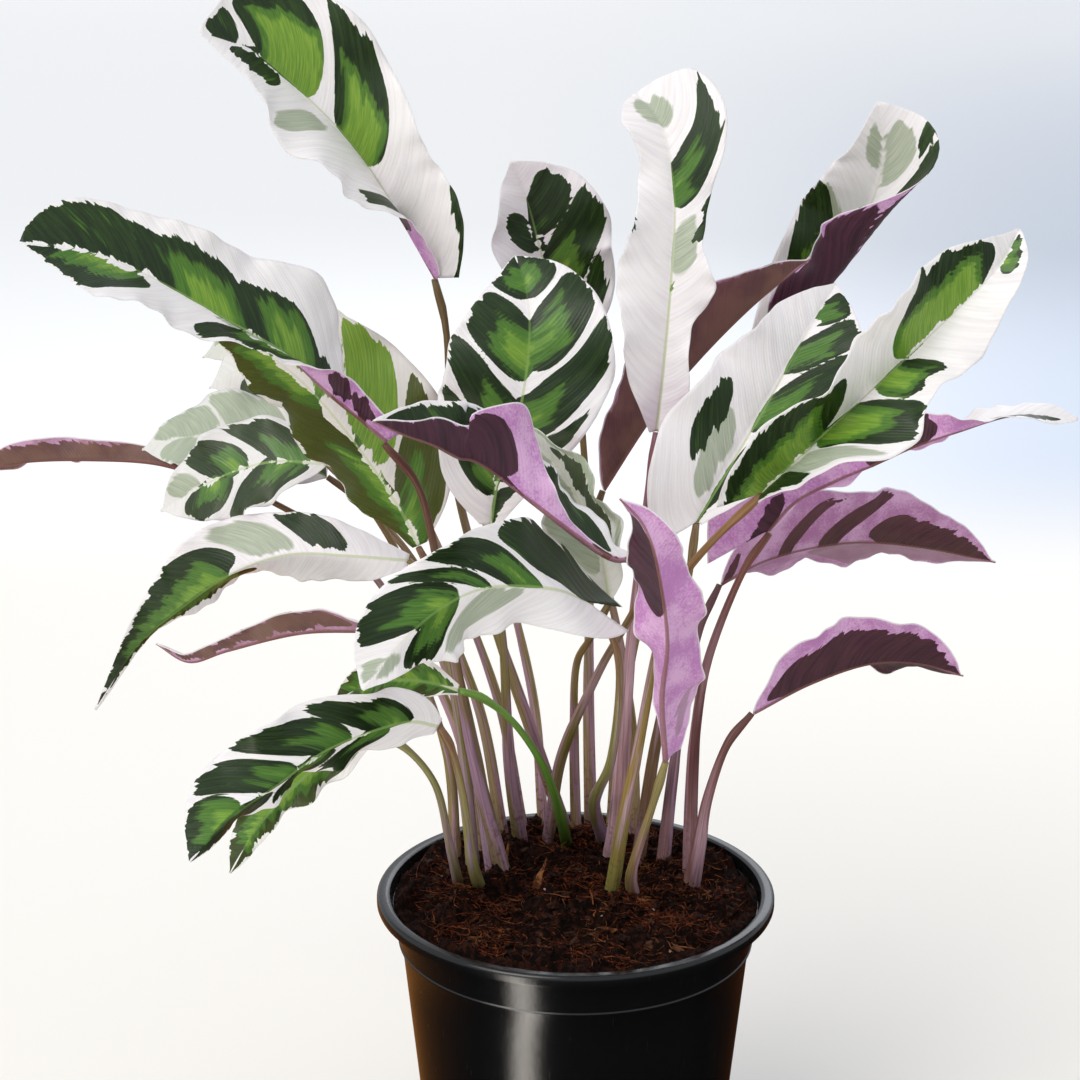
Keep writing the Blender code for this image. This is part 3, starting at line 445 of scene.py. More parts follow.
# Markings, as (side, from, to, inner, outer, tone). from and to say where along the midrib the side veins
# that bound the patch leave it, and inner and outer are shares of the way from midrib to margin.
leafMarkings = {
    "top_left": [
        ("R", .34, .55, 0, .94, "bright"), ("R", .585, .84, .02, .92, "bright"),
        ("R", .865, .97, 0, .8, "dark"), ("R", -.08, .05, .86, 1.1, "dark"),
        ("L", .5, .6, .2, .85, "sage"), ("L", .7, .9, .1, .6, "dark"), ("L", .14, .24, .12, .8, "dark"),
    ],
    "left_arching": [
        ("R", .66, 1.05, .05, .93, "dark"), ("R", .4, .72, 0, .74, "mixed"),
        ("R", .2, .44, 0, .58, "mixed"), ("R", .02, .2, 0, .45, "dark"),
        ("L", .66, .97, .12, .95, "mixed"), ("L", .28, .5, .2, .88, "mixed"),
        ("L", .34, .52, .02, .2, "sage"), ("L", .04, .2, .25, .75, "dark"),
    ],
    "left_inner": [
        ("L", -.1, .5, .05, .97, "mixed"), ("L", .46, .98, .05, .96, "mixed"),
        ("R", -.05, .21, .06, .9, "mixed"), ("R", .235, .47, .08, .95, "lime"),
        ("R", .49, .72, .1, .93, "lime"), ("R", .74, .95, .1, .85, "mixed"),
    ],
    "front_centre": [
        ("R", -.8, .18, .02, .98, "dark"), ("R", .205, .395, 0, .96, "mixed"),
        ("R", .42, .49, .04, .93, "mixed"), ("R", .51, .79, .02, .96, "mixed"),
        ("R", .86, .97, .05, .55, "sage"), ("L", .51, .765, .04, .95, "mixed"),
        ("L", .28, .49, .04, .8, "sage"), ("L", .8, .93, .05, .55, "sage"),
    ],
    "centre_curled": [
        ("L", .47, 1, 0, .97, "dark"), ("L", -.1, .16, .1, .8, "dark"),
        ("R", .06, .95, .1, .93, "dark"),
    ],
    "centre_hidden": [
        ("R", .2, .75, .25, .7, "dark"), ("R", .1, .9, .72, .98, "sage"), ("L", .1, .9, .1, .9, "sage"),
    ],
    "centre_upright": [
        ("R", .8, 1, 0, .92, "mixed"), ("L", .8, 1, 0, .92, "mixed"), ("R", .54, .775, 0, .96, "mixed"),
        ("R", .315, .515, 0, .96, "mixed"), ("R", .16, .29, 0, .85, "mixed"),
        ("L", .5, .775, 0, .96, "mixed"), ("L", .27, .475, 0, .96, "mixed"),
        ("L", .09, .245, .05, .93, "mixed"), ("R", 0, .14, 0, .6, "dark"),
    ],
    "back_upright": [
        ("R", .58, .84, 0, .72, "dark"), ("R", .22, .56, .03, .96, "mixed"),
        ("R", .02, .2, .1, .85, "dark"), ("L", .5, .7, .1, .6, "dark"), ("L", 0, .3, .1, .8, "dark"),
    ],
    "tall_white": [
        ("R", .63, .79, 0, .9, "mixed"), ("R", .5, .6, .8, 1.1, "mixed"),
        ("R", .45, .6, 0, .75, "sage"), ("R", .4, .44, 0, .08, "lime"), ("R", .86, .94, 0, .3, "sage"),
        ("L", .88, .96, 0, .4, "sage"), ("L", .44, .5, .9, 1.1, "dark"),
    ],
    "behind_tall": [
        ("R", -.1, 1, 0, .97, "dark"), ("L", -.1, 1, 0, .97, "dark"),
    ],
    "right_upper": [
        ("L", .03, .3, .44, .74, "dark"), ("L", .05, .3, .14, .46, "sage"),
        ("R", .79, .95, .03, .92, "mixed"), ("R", .58, .765, .02, .95, "mixed"),
        ("R", .34, .555, 0, .95, "mixed"), ("R", -.1, .32, 0, .42, "dark"),
    ],
    "right_large": [
        ("L", .5, .88, .03, .93, "bright"), ("L", -.25, .33, .03, .93, "bright"),
        ("R", .86, .98, .08, .6, "bright"), ("R", .42, .56, .02, .68, "bright"),
        ("R", .2, .4, 0, .95, "bright"), ("R", .08, .19, .2, .9, "sage"),
        ("R", -.05, .09, .1, .9, "dark"),
    ],
    "far_right": [
        ("R", .34, .58, 0, .8, "dark"), ("R", -.3, .1, 0, .3, "dark"), ("R", .72, .95, .1, .6, "dark"),
    ],
    "top_right": [
        ("L", .2, .48, .25, .97, "mixed"), ("L", .32, .52, .02, .9, "sage"),
        ("R", .7, .88, .04, .5, "sage"), ("L", .75, .92, .08, .5, "sage"),
        ("R", .44, .64, 0, 1.1, "mixed"), ("R", .67, .74, .5, 1.1, "dark"),
        ("R", -.3, .42, 0, .97, "dark"),
    ],
    "right_level": [
        ("R", -.2, .06, .02, .85, "dark"), ("R", .2, .26, .02, .85, "dark"),
        ("R", .34, .43, .02, .92, "dark"), ("R", .5, .98, 0, .66, "dark"),
        ("L", .3, .98, 0, .9, "sage"),
    ],
    "right_low": [
        ("R", .05, 1, 0, .72, "dark"), ("L", .02, 1, 0, .93, "dark"),
    ],
    "front_twisted": [
        ("R", .52, .9, .02, 1.1, "dark"), ("L", .02, .12, .5, .8, "sage"),
    ],
    "front_left_low": [
        ("R", .1, .31, 0, .88, "mixed"), ("R", .325, .51, .02, .94, "mixed"),
        ("R", .53, .71, .02, .95, "mixed"), ("R", .725, 1, .02, .95, "mixed"),
        ("L", .17, .36, .06, .93, "mixed"), ("L", .38, .62, .06, .9, "mixed"),
        ("L", .64, 1, 0, .93, "dark"),
    ],
    "left_low": [
        ("R", .02, 1, 0, .96, "bright"), ("L", .02, 1, 0, .8, "bright"),
    ],
    "front_green": [
        ("R", .02, 1, 0, .9, "bright"), ("L", 0, 1, 0, .94, "bright"),
    ],
    "left_middle": [
        ("R", .14, .26, .2, .95, "dark"), ("R", .28, .4, .1, .9, "sage"),
        ("R", .42, .98, 0, .95, "mixed"), ("L", .4, .95, 0, .6, "mixed"),
    ],
    "left_upper": [
        ("R", .04, .33, .03, .95, "mixed"), ("R", .38, .66, .03, .93, "mixed"),
        ("R", .7, .88, .05, .8, "sage"), ("L", .06, .42, .03, .96, "mixed"),
        ("L", .48, .82, .03, .9, "mixed"),
    ],
    "back_left_pale": [
        ("R", .16, .52, .03, .95, "sage"), ("R", .56, .92, .03, .95, "sage"),
        ("L", .05, .42, .03, .95, "sage"), ("L", .46, .85, .03, .95, "sage"),
        ("R", -.2, .14, 0, .95, "dark"),
    ],
    "back_left_curled": [
        ("R", .05, .55, .1, .95, "dark"), ("L", .1, .7, .1, .95, "dark"),
    ],
    "back_left_top": [
        ("R", .1, .9, .1, .9, "sage"), ("L", .1, .5, .1, .9, "dark"),
    ],
    "far_left": [
        ("R", -.02, .96, 0, .82, "dark"), ("L", .02, .95, 0, .8, "dark"),
    ],
    "left_curled": [
        ("R", .02, .97, .3, .98, "dark"), ("L", .05, .95, .2, .96, "dark"),
    ],
}

# how far the side veins lean towards the tip
veinSlant = 0.55
veinSlants = {
    "front_centre": 1.15, "front_left_low": 0.8, "left_arching": 0.75, "right_upper": 0.85, "top_right": 1.0,
}


def stationValues(values, share):
    # a smooth curve through values that stand at even stations
    values = np.array(values, float)
    ends = np.concatenate([2 * values[:1] - values[1:2], values, 2 * values[-1:] - values[-2:-1]])
    place = np.clip(share, 0, 1) * (len(values) - 1)
    i = np.minimum(place.astype(int), len(values) - 2)
    t = (place - i).reshape(-1, *[1] * (values.ndim - 1))
    a, b, c, d = ends[i], ends[i + 1], ends[i + 2], ends[i + 3]
    return 0.5 * (2 * b + (c - a) * t + (2 * a - 5 * b + 4 * c - d) * t**2 + (3 * b - a - 3 * c + d) * t**3)


def smoothPath(points, count):
    fine = stationValues(points, np.linspace(0, 1, 24 * (len(points) - 1) + 1))
    run = np.concatenate([[0], np.cumsum(np.linalg.norm(np.diff(fine, axis=0), axis=1))])
    wanted = np.linspace(0, run[-1], count)
    return np.stack([np.interp(wanted, run, fine[:, k]) for k in range(3)], axis=1)


def unit(vectors):
    return vectors / np.maximum(np.linalg.norm(vectors, axis=-1, keepdims=True), 1e-9)


def patchNoise(seed, x, y):
    # smooth noise from -1 to 1 over a lattice of one unit
    lattice = np.random.default_rng(seed).uniform(-1, 1, (64, 64))
    i, j = np.floor(x).astype(int), np.floor(y).astype(int)
    u, v = x - i, y - j
    u, v = u * u * (3 - 2 * u), v * v * (3 - 2 * v)
    i, j, k, m = i % 64, j % 64, (i + 1) % 64, (j + 1) % 64
    low = lattice[i, j] * (1 - u) + lattice[k, j] * u
    high = lattice[i, m] * (1 - u) + lattice[k, m] * u
    return low * (1 - v) + high * v


def halfWidth(leaf, side, share):
    widths = leaf[side]
    if isinstance(widths, tuple):
        width = stationValues(widths, share)
    else:
        widest = blade["widest"]
        base = np.sin(np.clip(share / widest, 0, 1) * math.pi / 2) ** blade["baseRound"]
        tip = 1 - np.clip((share - widest) / (1 - widest), 0, 1) ** blade["tipRound"]
        width = widths * np.where(share < widest, base, tip)
    return np.maximum(width * np.clip((1 - share) / blade["tipEnd"], 0, 1) ** 0.35, blade["leastHalf"])


def bladeSheet(leaf, rows, columns, slant):
    # the middle of the blade as a grid of points, with each point's place on the leaf
    share = np.linspace(0, 1, rows)
    rib = smoothPath(leaf["rib"], rows)
    length = np.linalg.norm(np.diff(rib, axis=0), axis=1).sum()
    along = unit(np.gradient(rib, axis=0))
    face = stationValues(leaf["face"], share)
    upper = unit(face - (face * along).sum(axis=1, keepdims=True) * along)
    across = np.cross(along, upper)
    half = np.linspace(0, 1, columns // 2 + 1) ** blade["bunch"]
    places = np.concatenate([-half[::-1], half[1:]])
    grid = np.empty((rows, len(places), 3))
    field = {key: np.empty((rows, len(places))) for key in ("reach", "width", "vein", "out", "side")}
    phase = sum(leaf["rib"][0]) * 0.7
    for j, place in enumerate(places):
        side, sign = ("right", 1) if place > 0 else ("left", -1)
        reach = abs(place)
        width = halfWidth(leaf, side, share)
        fold = np.radians(stationValues(leaf[side + "Fold"], share))
        curl = leaf["curl"][sign > 0]
        curl = np.radians(stationValues(curl, share) if isinstance(curl, tuple) else curl)
        curl = np.where(np.abs(curl) < 1e-4, 1e-4, curl)
        out = (np.sin(fold + curl * reach) - np.sin(fold)) / curl * width
        lift = (np.cos(fold) - np.cos(fold + curl * reach)) / curl * width
        wave = blade["waveHeight"] * reach**2 * np.sin(2 * math.pi * blade["waves"] * share + phase + sign)
        # a finer ruffle whose length keeps changing, so that it never repeats along the margin
        ruffle = 2 * math.pi * share * length / blade["ruffleLength"]
        ruffle = ruffle + 2.1 * phase + 1.7 * sign + 2 * np.sin(9 * share + phase)
        wave += blade["ruffleHeight"] * reach**4 * np.sin(ruffle)
        wave *= np.clip(width / blade["calmWidth"], 0, 1) * np.sin(math.pi * share)
        up = np.cos(fold)[:, None] * upper - sign * np.sin(fold)[:, None] * across
        lobe = leaf.get("lobe", (0, 0))[sign > 0]
        back = np.radians(lobe * np.clip(1 - share / blade["lobeEnd"], 0, 1) ** 2)
        outward = sign * out[:, None] * across + lift[:, None] * upper
        behind = (np.sin(back) * reach * width)[:, None] * along
        grid[:, j] = rib + np.cos(back)[:, None] * outward - behind + wave[:, None] * up
        away = reach * width
        vein = share * length - (slant * away + 0.5 * away * away / width.max())
        for key, value in dict(reach=reach, width=width, out=away, side=sign, vein=vein).items():
            field[key][:, j] = value
    field["share"] = np.repeat(share[:, None], len(places), axis=1)
    return grid, field, length


def patchDepths(name, field, length):
    # how deep inside its patches each point is, in millimetres: green across the veins, ends along them
    vein, out, reach, width, side = (field[key] for key in ("vein", "out", "reach", "width", "side"))
    seed = sum(map(ord, name))
    outside = -blade["deepest"]
    tone = {key: np.full(vein.shape, outside) for key in ("green", "ends", "dark", "sage")}
    best = np.full(vein.shape, outside)
    shift = side * 40
    streak = patchNoise(seed, vein / 1.5 + shift, out / 12)
    streak = streak + 0.6 * patchNoise(seed + 1, vein / 0.8 + shift, out / 7)
    slow = patchNoise(seed + 2, vein / 8 + shift, out / 9)
    for where, low, high, inner, outer, kind in leafMarkings[name]:
        onSide = (side == (1 if where == "R" else -1)) | (reach == 0)
        centre, half = (low + high) / 2 * length, (high - low) / 2 * length
        middle = np.clip((reach - inner) / max(outer - inner, 0.01), 0, 1) * 2 - 1
        acrossVeins = half * (1 - 0.3 * np.abs(middle) ** 3) - np.abs(vein - centre) + patch["wander"] * slow
        innerDepth = (reach - inner) * width + (patch["spill"] if inner < 0.03 else 0)
        outerDepth = (outer - reach) * width + (patch["spill"] if outer > 0.99 else 0)
        alongVeins = np.minimum(innerDepth, outerDepth)
        depth = np.where(onSide, np.minimum(acrossVeins, alongVeins), outside)
        if kind == "sage":
            tone["sage"] = np.maximum(tone["sage"], depth)
            continue
        wins = depth > best
        best = np.maximum(best, depth)
        tone["green"] = np.where(wins, acrossVeins, tone["green"])
        tone["ends"] = np.where(wins, alongVeins, tone["ends"])
        if kind in patch["cores"]:
            core, limit, deepening = patch["cores"][kind]
            inCore = core * half - np.abs(vein - centre + 0.15 * half)
            lime = np.minimum(inCore, (limit - reach) * width) + patch["streak"] * streak
            dark = -lime * deepening
        else:
            dark = np.full(vein.shape, patch["darkDepth"] if kind == "dark" else outside)
        tone["dark"] = np.where(wins, dark, tone["dark"])
    return {key: np.clip(value, outside, -outside) for key, value in tone.items()}


def sheetNormals(grid):
    down, over = np.gradient(grid, axis=0), np.gradient(grid, axis=1)
    return unit(np.cross(over, down))


def bladeFaces(high, wide):
    # the faces of the top, the underside and the rim between them, for two grids of points
    count = high * wide
    index = np.arange(count).reshape(high, wide)
    a, b, c, d = index[:-1, :-1], index[:-1, 1:], index[1:, 1:], index[1:, :-1]
    topFaces = np.stack([a, b, c, d], -1).reshape(-1, 4)
    underFaces = topFaces[:, ::-1] + count
    rim = np.concatenate([index[0, :-1], index[:-1, -1], index[-1, :0:-1], index[:0:-1, 0]])
    after = np.roll(rim, -1)
    return topFaces, underFaces, np.stack([after, rim, rim + count, after + count], -1)


def bladePoints(grid, field):
    # both sides of the blade: side veins in low relief, a groove over the midrib and a ridge under it
    normals = sheetNormals(grid)
    taper = 1 - blade["ribTaper"] * field["share"]
    ribRun = np.clip(1 - field["out"] / (blade["ribWidth"] * (0.5 + taper)), 0, 1)
    quiet = np.clip(field["out"] / 3, 0, 1) * np.clip((1 - field["reach"]) * 4, 0.3, 1)
    relief = blade["veinRelief"] * np.cos(2 * math.pi * field["vein"] / blade["veinSpacing"]) * quiet
    middle = grid - normals * relief[..., None]
    groove = blade["ribDepth"] * ribRun * taper
    ridge = blade["ribRidge"] * ribRun**0.7 * taper
    half = blade["thickness"] / 2 * (1 - blade["marginThinning"] * field["reach"])
    top = middle + normals * (half - groove)[..., None]
    under = middle - normals * (half + ridge)[..., None]
    return np.concatenate([top.reshape(-1, 3), under.reshape(-1, 3)]) * mm


def markBlade(mesh, name, field, length):
    # what the materials read: how deep each point lies in its patches, and a map that follows the side veins
    tones = patchDepths(name, field, length)
    tones["rib"] = field["out"] / (0.55 + 0.75 * (1 - field["share"]))
    tones["edge"] = (1 - field["reach"]) * field["width"]
    tones["share"] = field["share"]
    for key, value in leafTints.get(name, {}).items():
        tones[key] = np.full(field["share"].shape, value)
    for key, value in tones.items():
        attribute = mesh.attributes.new(key, "FLOAT", "POINT")
        attribute.data.foreach_set("value", np.tile(value.ravel(), 2).astype(np.float32))
    layer = mesh.uv_layers.new(name="veins")
    outward = field["out"].ravel() / mapUnit * field["side"].ravel()
    sheet = np.stack([field["vein"].ravel() / mapUnit, outward], -1)
    corners = np.empty(len(mesh.loops), np.int32)
    mesh.loops.foreach_get("vertex_index", corners)
    layer.data.foreach_set("uv", np.tile(sheet, (2, 1))[corners].ravel().astype(np.float32))


def makeLeaf(name, leaf):
    # leaves at the back are out of close view, so they get a coarser grid
    near = leaf["rib"][0][1] < 45
    rows = blade["rows"] if near else blade["rows"] * 2 // 3
    columns = blade["columns"] if near else blade["columns"] * 2 // 3
    grid, field, length = bladeSheet(leaf, rows, columns, veinSlants.get(name, veinSlant))
    topFaces, underFaces, rimFaces = bladeFaces(*field["share"].shape)
    faces = np.concatenate([topFaces, underFaces, rimFaces])
    pieceName = "leaf" + "".join(word.title() for word in name.split("_"))
    mesh = bpy.data.meshes.new(pieceName)
    mesh.from_pydata(bladePoints(grid, field).tolist(), [], faces.tolist())
    mesh.materials.append(leafTop)
    mesh.materials.append(leafUnderside)
    kinds = np.zeros(len(faces), np.int32)
    kinds[len(topFaces):len(topFaces) + len(underFaces)] = 1
    mesh.polygons.foreach_set("material_index", kinds)
    markBlade(mesh, name, field, length)
    mesh.shade_smooth()
    piece = addObject(pieceName, mesh)
    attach(piece, "root")
    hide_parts("leaf_" + name)


# How one leaf differs from the next: grey for shade and age, glow for light coming through from behind,
# pink for young growth and brown for a duller underside
leafTints = {
    "left_inner": dict(glow=0.8, pink=0.3), "far_left": dict(brown=0.7), "left_curled": dict(brown=0.7),
    "centre_hidden": dict(grey=0.35),
    "tall_white": dict(pink=0.04),
    "behind_tall": dict(brown=0.8),
    "back_left_pale": dict(grey=0.3), "back_left_curled": dict(grey=0.3), "back_left_top": dict(grey=0.5),
    "left_upper": dict(grey=0.2), "left_low": dict(glow=0.4), "front_green": dict(glow=0.5),
    "right_level": dict(brown=0.3), "right_low": dict(brown=0.1),
}

leafColours = dict(
    white="#f5f1f0", whiteShade="#ebe5e6", cream="#cfd6a8", sage="#a3b095", sageDeep="#7f9174",
    lime="#628d2d", limeBright="#80a239", middle="#3c6820", middleWarm="#4d7a2a",
    dark="#14260b", darkWarm="#203712", olive="#5f6a24", rib="#c9d2ac", ribGreen="#7fa054",
    pink="#dcaed6", violet="#bd7fba", mauve="#9c7c8c", maroon="#4a2433", maroonDeep="#331726",
    ribUnder="#84544c", brownUnder="#80604a",
)


def attribute(tree, name):
    return addNode(tree, "ShaderNodeAttribute", attribute_name=name).outputs["Fac"]


def leafNodes(tree):
    # what both sides share: tone masks feathered along the side veins, and two streak patterns
    veins = addNode(tree, "ShaderNodeUVMap", uv_map="veins").outputs[0]
    # 100 mm is one unit: streaks 0.5 mm across and about 9 mm long
    place = addNode(tree, "ShaderNodeMapping", {"Vector": veins, "Scale": (200, 11, 1)}).outputs[0]
    fine = {"Vector": place, "Scale": 1.0, "Detail": 3.0, "Roughness": 0.6}
    streak = addNode(tree, "ShaderNodeTexNoise", fine).outputs[0]
    # bands 2 mm across and about 14 mm long
    place = addNode(tree, "ShaderNodeMapping", {"Vector": veins, "Scale": (55, 7, 1)}).outputs[0]
    band = addNode(tree, "ShaderNodeTexNoise", {"Vector": place, "Scale": 1.0, "Detail": 2.0}).outputs[0]
    wobble = calc(tree, "MULTIPLY_ADD", streak, 1.7, -0.85)
    # brush-like blotches 8 mm across the veins and 20 mm along them
    place = addNode(tree, "ShaderNodeMapping", {"Vector": veins, "Scale": (13, 5, 1)}).outputs[0]
    wide = {"Vector": place, "Scale": 1.0, "Detail": 2.0, "Distortion": 0.4}
    blotch = calc(tree, "MULTIPLY_ADD", addNode(tree, "ShaderNodeTexNoise", wide).outputs[0], 9.0, -4.5)
    # the ends of a patch break up into uneven teeth along the veins
    teeth = calc(tree, "ADD", blotch, calc(tree, "MULTIPLY_ADD", band, 3.6, -1.8))
    teeth = calc(tree, "ADD", teeth, calc(tree, "MULTIPLY", wobble, 0.5))
    sides = calc(tree, "ADD", attribute(tree, "green"), wobble)
    inside = calc(tree, "MINIMUM", sides, calc(tree, "ADD", attribute(tree, "ends"), teeth))
    masks = {"green": ramp(tree, inside, -0.14, 0.14)}
    grey = calc(tree, "ADD", attribute(tree, "sage"), calc(tree, "MULTIPLY", teeth, 0.6))
    masks["sage"] = ramp(tree, grey, -0.7, 0.7)
    feather = calc(tree, "ADD", attribute(tree, "dark"), blotch)
    feather = calc(tree, "ADD", feather, calc(tree, "MULTIPLY_ADD", streak, 6.0, -3.0))
    feather = calc(tree, "ADD", feather, calc(tree, "MULTIPLY_ADD", band, 5.0, -2.5))
    masks["middle"] = calc(tree, "MULTIPLY", ramp(tree, feather, -6.6, -3.6), masks["green"])
    masks["dark"] = calc(tree, "MULTIPLY", ramp(tree, feather, -1.2, 0.9), masks["green"])
    return masks, streak, band, veins


def veinBump(tree, veins, grain, distance):
    # fine side veins every 5 mm, with the grain of the skin over them
    waves = {"Vector": veins, "Scale": 20.0, "Distortion": 1.5, "Detail": 1.0, "Detail Scale": 1.0}
    height = addNode(tree, "ShaderNodeTexWave", waves, bands_direction="X").outputs["Fac"]
    bump = {"Strength": 0.2, "Distance": distance, "Height": calc(tree, "ADD", height, grain)}
    return addNode(tree, "ShaderNodeBump", bump).outputs[0]


def makeLeafUpper(tone):
    # living leaf, upper side: thin, waxy and faintly translucent, so it has a soft sheen and light edges
    material, tree = newMaterial("calatheaLeafUpper")
    masks, streak, band, veins = leafNodes(tree)
    pink, grey, glow = (attribute(tree, name) for name in ("pink", "grey", "glow"))
    white = blendColour(tree, ramp(tree, band, 0.35, 0.75), tone["white"], tone["whiteShade"])
    white = blendColour(tree, calc(tree, "MULTIPLY", pink, 0.5), white, tone["pink"])
    white = blendColour(tree, calc(tree, "MULTIPLY", grey, 0.7), white, tone["sage"])
    white = blendColour(tree, calc(tree, "MULTIPLY", glow, 0.35), white, tone["cream"])
    sage = blendColour(tree, ramp(tree, streak, 0.35, 0.65), tone["sage"], tone["sageDeep"])
    lime = blendColour(tree, ramp(tree, streak, 0.4, 0.62), tone["lime"], tone["limeBright"])
    middle = blendColour(tree, ramp(tree, streak, 0.4, 0.62), tone["middle"], tone["middleWarm"])
    dark = blendColour(tree, ramp(tree, band, 0.4, 0.7), tone["dark"], tone["darkWarm"])
    dark = blendColour(tree, calc(tree, "MULTIPLY", glow, 0.5), dark, tone["olive"])
    colour = blendColour(tree, calc(tree, "MULTIPLY", masks["sage"], 0.8), white, sage)
    colour = blendColour(tree, masks["green"], colour, lime)
    colour = blendColour(tree, masks["middle"], colour, middle)
    colour = blendColour(tree, masks["dark"], colour, dark)
    colour = blendColour(tree, calc(tree, "MULTIPLY", grey, 0.3), colour, tone["sage"])
    # the midrib thins and fades towards the tip, pale on white and fresh green between dark patches
    ribWidth = ramp(tree, attribute(tree, "rib"), 0.75, 0.3)
    ribMask = calc(tree, "MULTIPLY", ribWidth, ramp(tree, attribute(tree, "share"), 1.0, 0.45))
    ribTone = blendColour(tree, masks["green"], tone["rib"], tone["ribGreen"])
    colour = blendColour(tree, calc(tree, "MULTIPLY", ribMask, 0.8), colour, ribTone)
    shader = addNode(tree, "ShaderNodeBsdfPrincipled", {
        "Base Color": colour, "Roughness": ramp(tree, band, 0.3, 0.7, 0.36, 0.5),
        "Specular IOR Level": 0.45, "IOR": 1.45, "Subsurface Weight": 0.12, "Subsurface Scale": 0.002,
        "Subsurface Radius": (1.0, 0.9, 0.5), "Normal": veinBump(tree, veins, streak, 0.0002),
    })
    addNode(tree, "ShaderNodeOutputMaterial", {"Surface": shader.outputs[0]})
    return material


def makeLeafUnderside(tone):
    # the same leaf beneath: matt and velvety, violet where it is white above and maroon where it is green
    material, tree = newMaterial("calatheaLeafUnderside")
    masks, _, band, veins = leafNodes(tree)
    place = addNode(tree, "ShaderNodeTexCoord").outputs["Object"]
    # a velvety mottle of 1 mm over broader clouds of 12 mm
    fine = {"Vector": place, "Scale": 1100.0, "Detail": 2.0, "Roughness": 0.6}
    mottle = addNode(tree, "ShaderNodeTexNoise", fine).outputs[0]
    cloud = addNode(tree, "ShaderNodeTexNoise", {"Vector": place, "Scale": 85.0, "Detail": 2.0}).outputs[0]
    patchy = calc(tree, "ADD", calc(tree, "MULTIPLY", cloud, 0.6), calc(tree, "MULTIPLY", mottle, 0.4))
    pale = blendColour(tree, ramp(tree, patchy, 0.4, 0.62), tone["pink"], tone["violet"])
    maroon = blendColour(tree, ramp(tree, band, 0.35, 0.7), tone["maroon"], tone["maroonDeep"])
    colour = blendColour(tree, calc(tree, "MULTIPLY", masks["sage"], 0.7), pale, tone["mauve"])
    colour = blendColour(tree, calc(tree, "MAXIMUM", masks["green"], masks["dark"]), colour, maroon)
    brown = calc(tree, "MULTIPLY", attribute(tree, "brown"), ramp(tree, cloud, 0.35, 0.6, 0.55, 0.95))
    colour = blendColour(tree, brown, colour, tone["brownUnder"])
    edge = ramp(tree, attribute(tree, "edge"), 0.7, 0.25)
    colour = blendColour(tree, calc(tree, "MULTIPLY", edge, 0.8), colour, tone["white"])
    ribMask = ramp(tree, attribute(tree, "rib"), 0.9, 0.5)
    colour = blendColour(tree, calc(tree, "MULTIPLY", ribMask, 0.8), colour, tone["ribUnder"])
    shader = addNode(tree, "ShaderNodeBsdfPrincipled", {
        "Base Color": colour, "Roughness": 0.52, "Specular IOR Level": 0.35,
        "Sheen Weight": 0.12, "Sheen Roughness": 0.5, "Subsurface Weight": 0.12, "Subsurface Scale": 0.002,
        "Subsurface Radius": (1.0, 0.5, 0.8), "Normal": veinBump(tree, veins, mottle, 0.0003),
    })
    addNode(tree, "ShaderNodeOutputMaterial", {"Surface": shader.outputs[0]})
    return material


leafTones = {key: hexColour(value) for key, value in leafColours.items()}
leafTop, leafUnderside = makeLeafUpper(leafTones), makeLeafUnderside(leafTones)
for leafName, leafShape in leafShapes.items():
    makeLeaf(leafName, leafShape)
print("leaves ready:", len(leafShapes))


# Stalks: smooth round petioles, mauve at the root and olive or brown above, each sheathed near the soil

stalk = dict(
    topRadius=1.15, depth=16.0, rise=3.0, sides=14, rings=46,
    swelling=0.45, swellingPlace=9.0, swellingLength=6.0,
    sheathEnd=0.36, sheathStep=0.22, sheathSoftness=0.012, gap=0.6, lobeDrop=1.2, mapWidth=0.12,
)

# colours at the root, middle and top, and of the stripes beside them; then the stalks that differ from it
stalkUsual = ("#ad9470", "#93834f", "#75603b", "#b58da2")
stalkColours = {
    "left_arching": ("#8c7862", "#80694a", "#6d4238", "#a4809a"),
    "left_inner": ("#8f7f66", "#7d7a45", "#8a6a50", "#a889a4"),
    "front_centre": ("#8a7a44", "#8f8a55", "#8a6446", "#a888a8"),
    "tall_white": ("#b58f90", "#a98088", "#8f5f68", "#c9a3ae"),
    "front_twisted": ("#8f6f62", "#8a7448", "#8f8350", "#b08a98"),
    "right_large": ("#8b8446", "#957a42", "#966c45", "#c2a0ae"),
    "right_upper": ("#9a7a6a", "#84684a", "#8d7650", "#b090a0"),
    "far_right": ("#9a7474", "#74484a", "#86544a", "#b08890"),
    "right_low": ("#b08a84", "#8a5f5c", "#6f443e", "#b893a0"),
    "right_level": ("#a88082", "#84606a", "#6f484c", "#b28fa2"),
    "centre_upright": ("#94855c", "#8a7c4c", "#93905a", "#b48fa4"),
    "left_middle": ("#8c7c50", "#8c8450", "#8f7c52", "#a88a9a"),
    "front_left_low": ("#8e8850", "#938a55", "#8b6a4c", "#ab8fae"),
    "left_low": ("#8d7f58", "#8a8650", "#94905a", "#a98c98"),
    "front_green": ("#4c7426", "#5c8a30", "#6f9a3e", "#557f2c"),
    "centre_curled": ("#937a66", "#80763f", "#8b5f4a", "#b18c9c"),
}

# The lie of the soil, the same as in the solid: a low mound with lumps and one heap at the back left
mound = dict(wall=135.5, rise=4.0, reach=66.0, lumps=1.5, heapRise=3.5, heap=(-45, 40), heapSpread=260.0)


def soilHeight(x, y):
    middle = mound["rise"] * max(0.0, 1 - (math.hypot(x, y) / mound["reach"]) ** 2)
    lumps = math.sin(x * 0.21 + 1.3) * math.cos(y * 0.17 - 0.6) + 0.6 * math.sin(x * 0.39 - y * 0.31)
    fromHeap = (x - mound["heap"][0]) ** 2 + (y - mound["heap"][1]) ** 2
    heap = mound["heapRise"] * math.exp(-fromHeap / mound["heapSpread"])
    return mound["wall"] + middle + mound["lumps"] * lumps + heap


